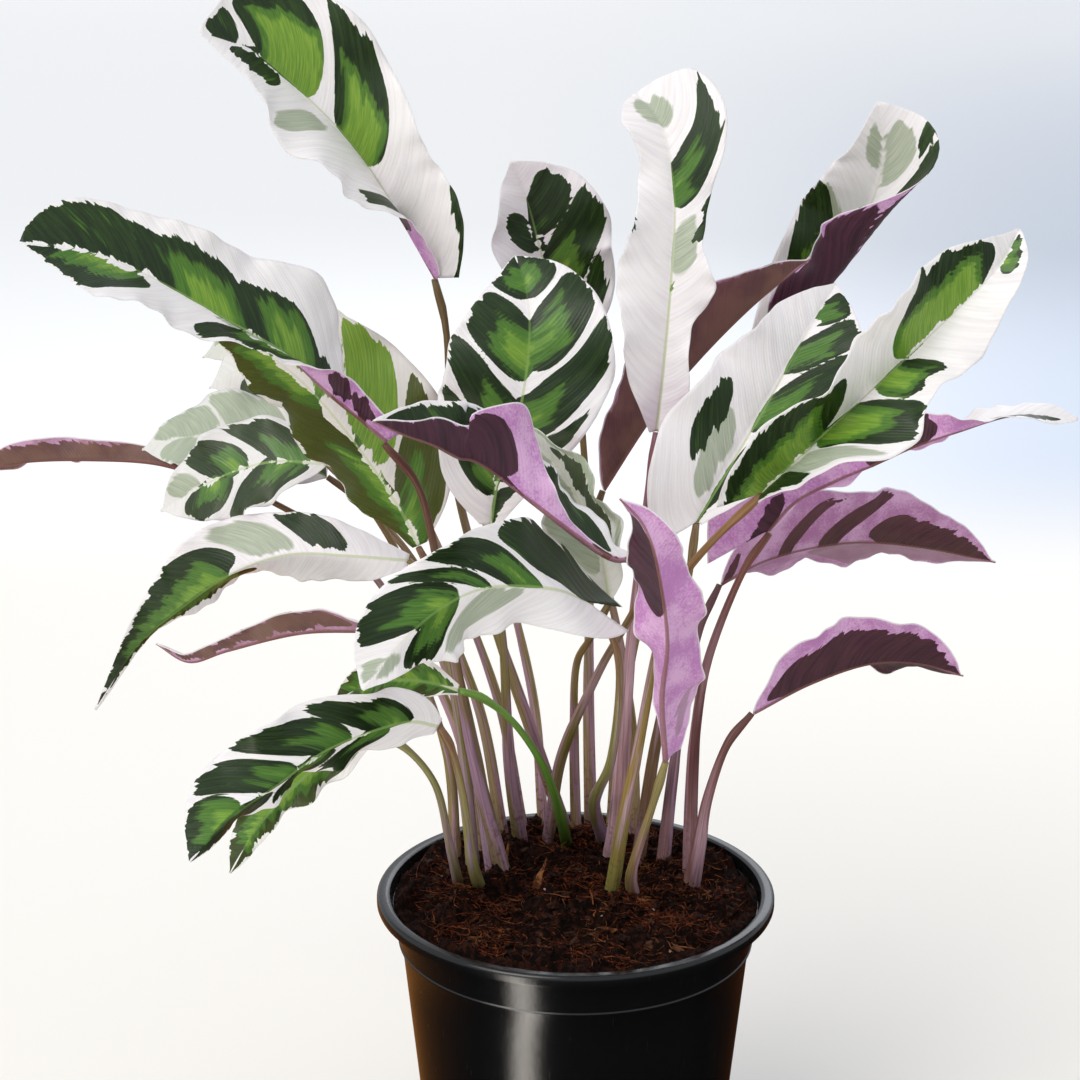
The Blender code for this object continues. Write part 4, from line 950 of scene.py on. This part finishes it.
def sheathSeam(place, turn):
    # the two edges of the sheath meet in a shallow seam
    seam = np.exp(-((turn - 1.2) / 0.35) ** 2)
    return 1 - (0.2 if place < stalk["sheathEnd"] + 0.05 else 0.08) * seam


def tubeMesh(name, path, radii, sides):
    # a closed tube of rings along a path, with its share of the length kept as an attribute
    along = unit(np.gradient(path, axis=0))
    first = unit(np.cross(along[0], (0.3, 1, 0.1)))
    frames = []
    for direction in along:
        first = unit(first - direction * (first @ direction))
        frames.append((first, np.cross(direction, first)))
    turn = np.arange(sides) * 2 * math.pi / sides
    points, share = [], []
    run = np.concatenate([[0], np.cumsum(np.linalg.norm(np.diff(path, axis=0), axis=1))])
    for i, (centre, radius, (u, v)) in enumerate(zip(path, radii, frames)):
        r = radius * sheathSeam(run[i] / run[-1], turn)
        points.append(centre + (np.cos(turn) * r)[:, None] * u + (np.sin(turn) * r)[:, None] * v)
        share += [run[i] / run[-1]] * sides
    index = np.arange(len(path) * sides).reshape(len(path), sides)
    nxt = np.roll(index, -1, axis=1)
    faces = np.stack([index[:-1], nxt[:-1], nxt[1:], index[1:]], -1).reshape(-1, 4).tolist()
    points = np.concatenate(points).tolist() + [path[0].tolist(), path[-1].tolist()]
    share += [0, 1]
    low, high = len(points) - 2, len(points) - 1
    for i in range(sides):
        k = (i + 1) % sides
        faces.append((int(index[0, k]), int(index[0, i]), low))
        faces.append((int(index[-1, i]), int(index[-1, k]), high))
    mesh = bpy.data.meshes.new(name)
    mesh.from_pydata((np.array(points) * mm).tolist(), [], faces)
    mesh.shade_smooth()
    attribute = mesh.attributes.new("share", "FLOAT", "POINT")
    attribute.data.foreach_set("value", np.array(share, np.float32))
    mapSkin(mesh, sides, run)
    return mesh


def mapSkin(mesh, sides, run):
    # a map round and along the stalk; where it starts again round the stalk, the last faces get its far end
    corners = np.empty(len(mesh.loops), np.int32)
    mesh.loops.foreach_get("vertex_index", corners)
    ring, spot = np.divmod(corners, sides)
    owner = np.repeat(np.arange(len(mesh.polygons)), [len(polygon.vertices) for polygon in mesh.polygons])
    lowest = np.full(len(mesh.polygons), sides)
    np.minimum.at(lowest, owner, spot)
    highest = np.zeros(len(mesh.polygons), int)
    np.maximum.at(highest, owner, spot)
    wraps = (highest - lowest > sides / 2)[owner] & (spot == 0)
    u = np.where(wraps, sides, spot) / sides * stalk["mapWidth"]
    v = run[np.minimum(ring, len(run) - 1)] / mapUnit
    layer = mesh.uv_layers.new(name="skin")
    layer.data.foreach_set("uv", np.stack([u, v], -1).ravel().astype(np.float32))


def makeStalk(name, leaf):
    top = np.array(leaf["rib"][0], float)
    ahead = unit(np.array(leaf["rib"][1], float) - top)
    x, y, _ = leaf["stem"][0]
    surface = np.array([x, y, soilHeight(x, y) + stalk["rise"]])
    end = top - ahead * stalk["gap"]
    if "lobe" in leaf:
        face = np.array(leaf["face"][0], float)
        end -= unit(face - (face @ ahead) * ahead) * stalk["lobeDrop"]
    route = smoothPath([tuple(surface)] + leaf["stem"][1:] + [tuple(end)], stalk["rings"])
    share = np.linspace(0, 1, len(route))
    radii = stalk["topRadius"] + (leaf["rootRadius"] - stalk["topRadius"]) * (1 - share) ** 1.3
    length = np.linalg.norm(np.diff(route, axis=0), axis=1).sum()
    # the pulvinus, a slight swelling just under the blade
    fromSwelling = (1 - share) * length - stalk["swellingPlace"]
    radii = radii + stalk["swelling"] * np.exp(-((fromSwelling / stalk["swellingLength"]) ** 2))
    # the sheath wraps the lower third and ends in a small step
    edge = 1 - 1 / (1 + np.exp(-(share - stalk["sheathEnd"]) / stalk["sheathSoftness"]))
    radii = radii + stalk["sheathStep"] * edge
    path = np.vstack([surface - (0, 0, stalk["depth"]), surface - (0, 0, 3), route])
    radii = np.concatenate([[radii[0]] * 2, radii])
    pieceName = "stalk" + "".join(word.title() for word in name.split("_"))
    mesh = tubeMesh(pieceName, path, radii, stalk["sides"])
    mesh.materials.append(makeStalkMaterial(pieceName, stalkColours.get(name, stalkUsual)))
    piece = addObject(pieceName, mesh)
    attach(piece, "root")
    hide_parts("stem_" + name)


def makeStalkMaterial(name, colours):
    # a petiole is smooth and waxy: olive and mauve run along it side by side, with fine darker fibres
    material, tree = newMaterial("petiole" + name[5:])
    place = addNode(tree, "ShaderNodeTexCoord").outputs["Object"]
    skin = addNode(tree, "ShaderNodeUVMap", uv_map="skin").outputs[0]
    # fibres about 0.7 mm wide and 30 mm long
    long = addNode(tree, "ShaderNodeMapping", {"Vector": skin, "Scale": (150, 3.5, 1)}).outputs[0]
    fibre = addNode(tree, "ShaderNodeTexNoise", {"Vector": long, "Scale": 1.0, "Detail": 3.0}).outputs[0]
    # stripes about 4 mm wide that drift over 80 mm
    shift = (sum(map(ord, name)) % 17, 0, 0)
    broad = {"Vector": skin, "Location": shift, "Scale": (26, 1.2, 1)}
    broad = addNode(tree, "ShaderNodeMapping", broad).outputs[0]
    stripe = addNode(tree, "ShaderNodeTexNoise", {"Vector": broad, "Scale": 1.0, "Detail": 2.0}).outputs[0]
    # clouds of 17 mm, and specks of 2 mm
    cloud = addNode(tree, "ShaderNodeTexNoise", {"Vector": place, "Scale": 60.0, "Detail": 2.0}).outputs[0]
    speck = addNode(tree, "ShaderNodeTexNoise", {"Vector": place, "Scale": 500.0, "Detail": 3.0}).outputs[0]
    run = calc(tree, "ADD", attribute(tree, "share"), calc(tree, "MULTIPLY_ADD", cloud, 0.3, -0.15))
    root, middle, tip, side = (hexColour(colour) for colour in colours)
    colour = blendColour(tree, ramp(tree, run, 0.1, 0.42), root, middle)
    colour = blendColour(tree, ramp(tree, run, 0.6, 0.95), colour, tip)
    striped = calc(tree, "MULTIPLY", ramp(tree, stripe, 0.47, 0.55), ramp(tree, run, 0.9, 0.35))
    colour = blendColour(tree, calc(tree, "MULTIPLY", striped, 0.9), colour, side)
    shaded = blendColour(tree, 0.5, colour, hexColour("#4a3020"))
    colour = blendColour(tree, ramp(tree, fibre, 0.42, 0.68), colour, shaded)
    # brown scuffs where the old sheath dries, near the soil
    dry = calc(tree, "MULTIPLY", ramp(tree, speck, 0.52, 0.64), ramp(tree, run, 0.3, 0.05, 0.0, 0.7))
    colour = blendColour(tree, dry, colour, hexColour("#5b3a24"))
    bump = addNode(tree, "ShaderNodeBump", {"Strength": 0.3, "Distance": 0.0003, "Height": fibre})
    shader = addNode(tree, "ShaderNodeBsdfPrincipled", {
        "Base Color": colour, "Roughness": 0.42, "Specular IOR Level": 0.4,
        "Subsurface Weight": 0.1, "Subsurface Scale": 0.0015, "Normal": bump.outputs[0],
    })
    addNode(tree, "ShaderNodeOutputMaterial", {"Surface": shader.outputs[0]})
    return material


for leafName, leafShape in leafShapes.items():
    makeStalk(leafName, leafShape)
print("stalks ready")


# Nursery pot: thin injection-moulded plastic with a rolled rim, a collar and a tapered body

pot = dict(
    height=140.0, rimRadius=74.5, rimWidth=5.0, rimDepth=4.5, collarRadius=66.3, collarBottom=121.0,
    bodyTop=65.4, baseRadius=53.0, wall=1.8, floor=2.5, footHeight=2.0, footInset=9.0, bossRadius=15.0,
    lipRadius=1.6, drainHoles=6, drainRadius=5.0, drainCircle=32.0, drainTurn=3.0,
    segments=144, smoothAngle=35.0,
)


def bodyRadius(height):
    return pot["baseRadius"] + (pot["bodyTop"] - pot["baseRadius"]) * height / pot["collarBottom"]


def potProfile():
    # (radius, height) from the middle of the underside, out, up, over the rim and down inside to the floor
    base, foot, rim, top = pot["baseRadius"], pot["footHeight"], pot["rimRadius"], pot["height"]
    boss, collar, wall, lip = pot["bossRadius"], pot["collarRadius"], pot["wall"], pot["lipRadius"]
    ring, under, floor = base - pot["footInset"], top - pot["rimDepth"], foot + pot["floor"]
    collarTop = collar + (under - pot["collarBottom"]) * 0.1
    profile = [(4, 0), (boss - 0.5, 0), (boss, 0.3), (boss + 0.8, foot - 0.3), (boss + 1.2, foot)]
    profile += [(ring - 1.2, foot), (ring - 0.8, foot - 0.3), (ring, 0.3), (ring + 0.4, 0)]
    profile += [(base - 2.5, 0), (base - 1.2, 0.5), (base - 0.3, 1.8), (base + 0.1, 3.4)]
    profile += [(bodyRadius(z), z) for z in (20, 50, 80, 105)]
    # a small bead under the collar
    profile += [(bodyRadius(120.2), 120.2), (bodyRadius(121) + 0.3, 120.8)]
    profile += [(collar + 0.35, 121.1), (collar + 0.45, 121.6), (collar + 0.1, 122.1)]
    profile += [(collarTop, under - 0.4), (collarTop + 0.5, under)]
    # the rolled rim
    profile += [(rim - 1.0, under), (rim - 0.3, under + 0.3), (rim, under + 1)]
    for turn in np.radians([0, 20, 40, 60, 80, 90]):
        profile.append((rim - lip + lip * math.cos(turn), top - lip + lip * math.sin(turn)))
    inner = rim - pot["rimWidth"]
    profile += [(rim - 3.2, top), (inner + 0.9, top - 0.1), (inner + 0.2, top - 0.6), (inner, top - 1.3)]
    profile += [(pot["bodyTop"] - wall + 0.4, 122), (pot["bodyTop"] - wall - 0.1, 120)]
    profile += [(base - wall - 1 + 0.6, floor + 6), (base - wall - 1, floor + 1)]
    profile += [(base - wall - 2, floor), (4, floor)]
    return profile


def cutDrainHole(piece, turn):
    circle = pot["drainCircle"]
    place = (circle * math.cos(turn) * mm, circle * math.sin(turn) * mm, 2 * mm)
    radius = pot["drainRadius"] * mm
    bpy.ops.mesh.primitive_cylinder_add(vertices=32, radius=radius, depth=20 * mm, location=place)
    cutter = bpy.context.active_object
    hole = piece.modifiers.new("drainHole", "BOOLEAN")
    hole.operation, hole.object = "DIFFERENCE", cutter
    deselectAll()
    bpy.context.view_layer.objects.active = piece
    piece.select_set(True)
    bpy.ops.object.modifier_apply(modifier=hole.name)
    bpy.data.objects.remove(cutter, do_unlink=True)


def makePot():
    # a ring grown edge by edge along the profile, then both middles merged shut
    deselectAll()
    profile = potProfile()
    radius, height = profile[0]
    start = (0, 0, height * mm)
    bpy.ops.mesh.primitive_circle_add(vertices=pot["segments"], radius=radius * mm, location=start)
    piece = bpy.context.active_object
    piece.name = "nurseryPot"
    bpy.ops.object.transform_apply(location=True)
    bpy.ops.object.mode_set(mode="EDIT")
    bpy.ops.mesh.select_all(action="SELECT")
    for nextRadius, nextHeight in profile[1:]:
        bpy.ops.mesh.extrude_edges_move(TRANSFORM_OT_translate={"value": (0, 0, (nextHeight - height) * mm)})
        grow = nextRadius / radius
        bpy.ops.transform.resize(value=(grow, grow, 1), center_override=(0, 0, nextHeight * mm))
        radius, height = nextRadius, nextHeight
    bpy.ops.mesh.edge_face_add()
    bpy.ops.mesh.select_all(action="DESELECT")
    bpy.ops.object.mode_set(mode="OBJECT")
    for vertex in piece.data.vertices[:pot["segments"]]:
        vertex.select = True
    bpy.ops.object.mode_set(mode="EDIT")
    bpy.ops.mesh.edge_face_add()
    bpy.ops.mesh.select_all(action="SELECT")
    bpy.ops.mesh.normals_make_consistent(inside=False)
    bpy.ops.object.mode_set(mode="OBJECT")
    for i in range(pot["drainHoles"]):
        cutDrainHole(piece, 2 * math.pi * (i + 0.5) / pot["drainHoles"] + math.radians(pot["drainTurn"]))
    bpy.ops.object.shade_smooth_by_angle(angle=math.radians(pot["smoothAngle"]))
    piece.data.materials.clear()
    piece.data.materials.append(makePotMaterial())
    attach(piece, "root")
    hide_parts("pot")


def makePotMaterial():
    # glossy black polypropylene: mirror-like streaks softened by a faint orange peel and fine scuffs
    material, tree = newMaterial("glossBlackPolypropylene")
    place = addNode(tree, "ShaderNodeTexCoord").outputs["Object"]
    # orange peel at 4 mm
    peel = addNode(tree, "ShaderNodeTexNoise", {"Vector": place, "Scale": 250.0, "Detail": 2.0}).outputs[0]
    # flow lines and scuffs run up the wall, 0.8 mm wide
    upright = addNode(tree, "ShaderNodeMapping", {"Vector": place, "Scale": (1200, 1200, 40)}).outputs[0]
    fine = {"Vector": upright, "Scale": 1.0, "Detail": 4.0, "Roughness": 0.7}
    scuff = addNode(tree, "ShaderNodeTexNoise", fine).outputs[0]
    colour = blendColour(tree, ramp(tree, scuff, 0.6, 0.8), hexColour("#0b0b0c"), hexColour("#161413"))
    rough = ramp(tree, scuff, 0.45, 0.75, 0.22, 0.28)
    bump = addNode(tree, "ShaderNodeBump", {"Strength": 0.12, "Distance": 0.0004, "Height": peel})
    # turned marks run round the wall, so highlights draw out into upright streaks
    around = addNode(tree, "ShaderNodeTangent", direction_type="RADIAL", axis="Z").outputs[0]
    shader = addNode(tree, "ShaderNodeBsdfPrincipled", {
        "Base Color": colour, "Roughness": rough, "IOR": 1.49, "Specular IOR Level": 0.55,
        "Anisotropic": 0.75, "Anisotropic Rotation": 0.25, "Tangent": around, "Normal": bump.outputs[0],
    })
    addNode(tree, "ShaderNodeOutputMaterial", {"Surface": shader.outputs[0]})
    return material


makePot()
print("pot ready")


# Soil: moist coir and bark, near black, with reddish fibres, chips and a few white specks

soil = dict(
    rings=110, turns=290, lumpHeight=4.2, clodHeight=4.6, crumbHeight=2.1, footHeap=2.6, footSpread=20.0,
    wallHeap=1.8, wallStart=54.0, wallWidth=12.0, edge=68.6, edgeFade=5.0, gap=0.35,
    fibres=2400, fibreReach=63.0, fibreLimit=66.0, clusters=46, clusterReach=60.0, clusterSpread=4.5,
    chips=420, chipReach=61.0, specks=9, seed=7,
    # where the splinters stand, their height and width in millimetres, and their lean in radians
    splinters=(
        (-28, 11, 15, 2.4, 0.2), (-15, -10, 13, 2.8, 0.3), (7, -34, 8, 6.0, 1.25), (-45, -6, 7, 6.0, 1.4),
    ),
)


def makeSoilMaterial(name, colours, roughness):
    # damp coir: dull dark crumbs
    material, tree = newMaterial(name)
    place = addNode(tree, "ShaderNodeTexCoord").outputs["Object"]
    # crumbs of 2.4 mm, in patches of 14 mm
    fine = {"Vector": place, "Scale": 420.0, "Detail": 5.0, "Roughness": 0.7}
    crumb = addNode(tree, "ShaderNodeTexNoise", fine).outputs[0]
    cloud = addNode(tree, "ShaderNodeTexNoise", {"Vector": place, "Scale": 70.0, "Detail": 3.0}).outputs[0]
    first, second, third = (hexColour(colour) for colour in colours)
    colour = blendColour(tree, ramp(tree, crumb, 0.45, 0.62), first, second)
    colour = blendColour(tree, ramp(tree, cloud, 0.55, 0.75, 0.0, 0.7), colour, third)
    bump = addNode(tree, "ShaderNodeBump", {"Strength": 0.9, "Distance": 0.001, "Height": crumb})
    shader = addNode(tree, "ShaderNodeBsdfPrincipled", {
        "Base Color": colour, "Roughness": roughness, "Specular IOR Level": 0.12, "Normal": bump.outputs[0],
    })
    addNode(tree, "ShaderNodeOutputMaterial", {"Surface": shader.outputs[0]})
    return material


stalkFeet = [leafShape["stem"][0][:2] for leafShape in leafShapes.values()]


def crumbHeight(x, y):
    # extra height of the loose surface over the smooth one, in millimetres, for arrays
    lumps = soil["lumpHeight"] * patchNoise(11, x / 11 + 20, y / 11 + 20)
    clods = soil["clodHeight"] * (0.5 - np.abs(patchNoise(12, x / 4.2 + 20, y / 4.2 + 20)))
    # loose soil drawn up round the foot of each stalk, and a little towards the wall
    heaps = 0
    for foot in stalkFeet:
        fromFoot = (x - foot[0]) ** 2 + (y - foot[1]) ** 2
        heaps = heaps + soil["footHeap"] * np.exp(-fromFoot / soil["footSpread"])
    toWall = np.clip((np.hypot(x, y) - soil["wallStart"]) / soil["wallWidth"], 0, 1)
    crumbs = soil["crumbHeight"] * np.abs(patchNoise(13, x / 1.5 + 32, y / 1.5 + 32))
    return lumps + clods + heaps + soil["wallHeap"] * toWall**2 + crumbs


def edgeFade(radius):
    # the crumbs get lower towards the wall of the pot
    return min(1, (soil["edge"] - radius) / soil["edgeFade"] + 0.35)


def makeSoil():
    rings = soil["rings"]
    turns = soil["turns"]
    edge, gap, wall = soil["edge"], soil["gap"], pot["wall"]
    turn = np.arange(turns) * 2 * math.pi / turns
    rows = [(pot["baseRadius"] - wall - 2.5, pot["footHeight"] + pot["floor"] + gap)]
    rows += [(pot["bodyTop"] - wall - gap - 0.4, 119.0), (edge - 1.2, 133.5)]
    points = [np.stack([r * np.cos(turn), r * np.sin(turn), np.full(turns, z)], -1) for r, z in rows]
    for radius in np.linspace(edge - 0.3, 1.0, rings):
        x, y = radius * np.cos(turn), radius * np.sin(turn)
        z = np.array([soilHeight(a, b) for a, b in zip(x, y)]) + crumbHeight(x, y) * edgeFade(radius)
        points.append(np.stack([x, y, z], -1))
    count = len(points)
    index = np.arange(count * turns).reshape(count, turns)
    nxt = np.roll(index, -1, axis=1)
    faces = np.stack([index[:-1], nxt[:-1], nxt[1:], index[1:]], -1).reshape(-1, 4).tolist()
    faces.append(index[0, ::-1].tolist())
    faces.append(index[-1].tolist())
    mesh = bpy.data.meshes.new("coirSoil")
    mesh.from_pydata((np.concatenate(points) * mm).tolist(), [], faces)
    mesh.shade_smooth()
    mesh.materials.append(makeSoilMaterial("dampCoir", ("#0c0503", "#32160c", "#1d0d07"), 0.95))
    piece = addObject("coirSoil", mesh)
    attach(piece, "root")
    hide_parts("soil")


def scatterMesh(name, shapes, material):
    # many small shapes in one mesh
    points, faces = [], []
    for shapePoints, shapeFaces in shapes:
        start = len(points)
        points += (np.array(shapePoints) * mm).tolist()
        faces += [[start + i for i in face] for face in shapeFaces]
    mesh = bpy.data.meshes.new(name)
    mesh.from_pydata(points, [], faces)
    mesh.materials.append(material)
    piece = addObject(name, mesh)
    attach(piece, "root")


def surfacePoint(draws, reach, cluster=None):
    # a point on the crumbs, anywhere within reach or near the middle of a cluster
    radius = reach * math.sqrt(draws.uniform())
    turn = draws.uniform(0, 2 * math.pi)
    x, y = radius * math.cos(turn), radius * math.sin(turn)
    if cluster:
        spread = soil["clusterSpread"]
        x, y = cluster[0] + draws.normal(0, spread), cluster[1] + draws.normal(0, spread)
        radius = math.hypot(x, y)
        x, y = x * min(1, reach / radius), y * min(1, reach / radius)
        radius = min(radius, reach)
    crumbs = float(crumbHeight(np.array([x]), np.array([y]))[0])
    return x, y, soilHeight(x, y) + crumbs * edgeFade(radius)


def fibreShape(draws, cluster=None):
    # a bent three-sided strand that lies on the crumbs and lifts at one end
    x, y, z = surfacePoint(draws, soil["fibreReach"], cluster)
    heading, bend = draws.uniform(0, 2 * math.pi), draws.uniform(-0.9, 0.9)
    length, thick = 3 + 14 * draws.uniform() ** 2, 0.1 + 0.2 * draws.uniform() ** 2
    lift = 3.5 * draws.uniform() ** 2
    points, faces = [], []
    for i in range(6):
        share = i / 5 - 0.5
        a = heading + bend * share * 2
        px, py = x + math.cos(a) * length * share, y + math.sin(a) * length * share
        radius, limit = math.hypot(px, py), soil["fibreLimit"]
        if radius > limit:
            px, py = px * limit / radius, py * limit / radius
        pz = z + lift * (share + 0.5) ** 2 + 0.3 * math.sin(i * 2.1 + heading)
        for k in range(3):
            t = k * 2 * math.pi / 3
            side = thick * math.cos(t)
            points.append((px - math.sin(a) * side, py + math.cos(a) * side, pz + thick * math.sin(t)))
        if i:
            b = 3 * (i - 1)
            faces += [(b + k, b + (k + 1) % 3, b + 3 + (k + 1) % 3, b + 3 + k) for k in range(3)]
    faces += [(2, 1, 0), (15, 16, 17)]
    return points, faces


def turnedPair(first, second, angle):
    c, s = math.cos(angle), math.sin(angle)
    return first * c - second * s, first * s + second * c


def chipShape(draws, size):
    # a rough bark flake: a lopsided box with every corner pushed about
    x, y, z = surfacePoint(draws, soil["chipReach"])
    a, b, c = (size * draws.uniform(*span) for span in ((0.6, 1.4), (0.35, 0.8), (0.15, 0.45)))
    heading, tilt = draws.uniform(0, 2 * math.pi), draws.uniform(-0.6, 0.6)
    corners = []
    square = ((-1, -1), (1, -1), (1, 1), (-1, 1))
    for sx, sy, sz in [(sx, sy, sz) for sz in (-1, 1) for sx, sy in square]:
        px = sx * a * draws.uniform(0.6, 1)
        py = sy * b * draws.uniform(0.6, 1)
        pz = sz * c * draws.uniform(0.5, 1)
        px, pz = turnedPair(px, pz, tilt)
        px, py = turnedPair(px, py, heading)
        corners.append((x + px, y + py, z + pz + c * 0.5))
    return corners, [(3, 2, 1, 0), (4, 5, 6, 7), (0, 1, 5, 4), (1, 2, 6, 5), (2, 3, 7, 6), (3, 0, 4, 7)]


def splinterShape(draws, x, y, height, width, lean):
    # a split flake of bark, ragged at its upper end, that leans sideways
    base = soilHeight(x, y) + float(crumbHeight(np.array([x]), np.array([y]))[0]) - 1.5
    across, along = math.cos(lean), math.sin(lean)
    points = []
    for level in range(5):
        share = level / 4
        half = width * (1 - 0.75 * share**2) * draws.uniform(0.8, 1.1) / 2
        cx = x + along * height * share + draws.uniform(-0.3, 0.3)
        cz = base + across * height * share
        for side, depth in ((-1, -0.35), (1, -0.35), (1, 0.35), (-1, 0.35)):
            pz = cz - side * half * along + 0.5 * side * share
            points.append((cx + side * half * across, y + depth * (1.2 - share), pz))
    faces = [(3, 2, 1, 0), (16, 17, 18, 19)]
    for b in range(0, 16, 4):
        faces += [(b + k, b + (k + 1) % 4, b + 4 + (k + 1) % 4, b + 4 + k) for k in range(4)]
    return points, faces


def scatterLitter():
    draws = np.random.default_rng(soil["seed"])
    amount = 1
    fibreMaterial = makeSoilMaterial("coirFibre", ("#3d1a0e", "#7c4022", "#b97c4c"), 0.8)
    barkMaterial = makeSoilMaterial("barkChip", ("#1d100c", "#4a2c1e", "#6d4630"), 0.85)
    grainMaterial = makeSoilMaterial("perliteGrain", ("#cfc8bf", "#e4dfd8", "#b9afa4"), 0.9)
    splinterMaterial = makeSoilMaterial("barkSplinter", ("#5a3420", "#a06c40", "#bd8c5a"), 0.75)
    clusters = [surfacePoint(draws, soil["clusterReach"])[:2] for _ in range(soil["clusters"])]
    # one fibre in five lies by itself
    strands = []
    for i in range(int(soil["fibres"] * amount)):
        strands.append(fibreShape(draws, clusters[i % len(clusters)] if i % 5 else None))
    scatterMesh("coirFibres", strands, fibreMaterial)
    # two bark splinters stand up in front, and a chunk and a flake lie by them
    splinters = [splinterShape(draws, *splinter) for splinter in soil["splinters"]]
    scatterMesh("barkSplinters", splinters, splinterMaterial)
    chips = [chipShape(draws, draws.uniform(0.7, 2.6)) for _ in range(int(soil["chips"] * amount))]
    scatterMesh("barkChips", chips, barkMaterial)
    grains = [chipShape(draws, draws.uniform(0.4, 0.9)) for _ in range(soil["specks"])]
    scatterMesh("perliteGrains", grains, grainMaterial)


makeSoil()
scatterLitter()
print("soil ready")
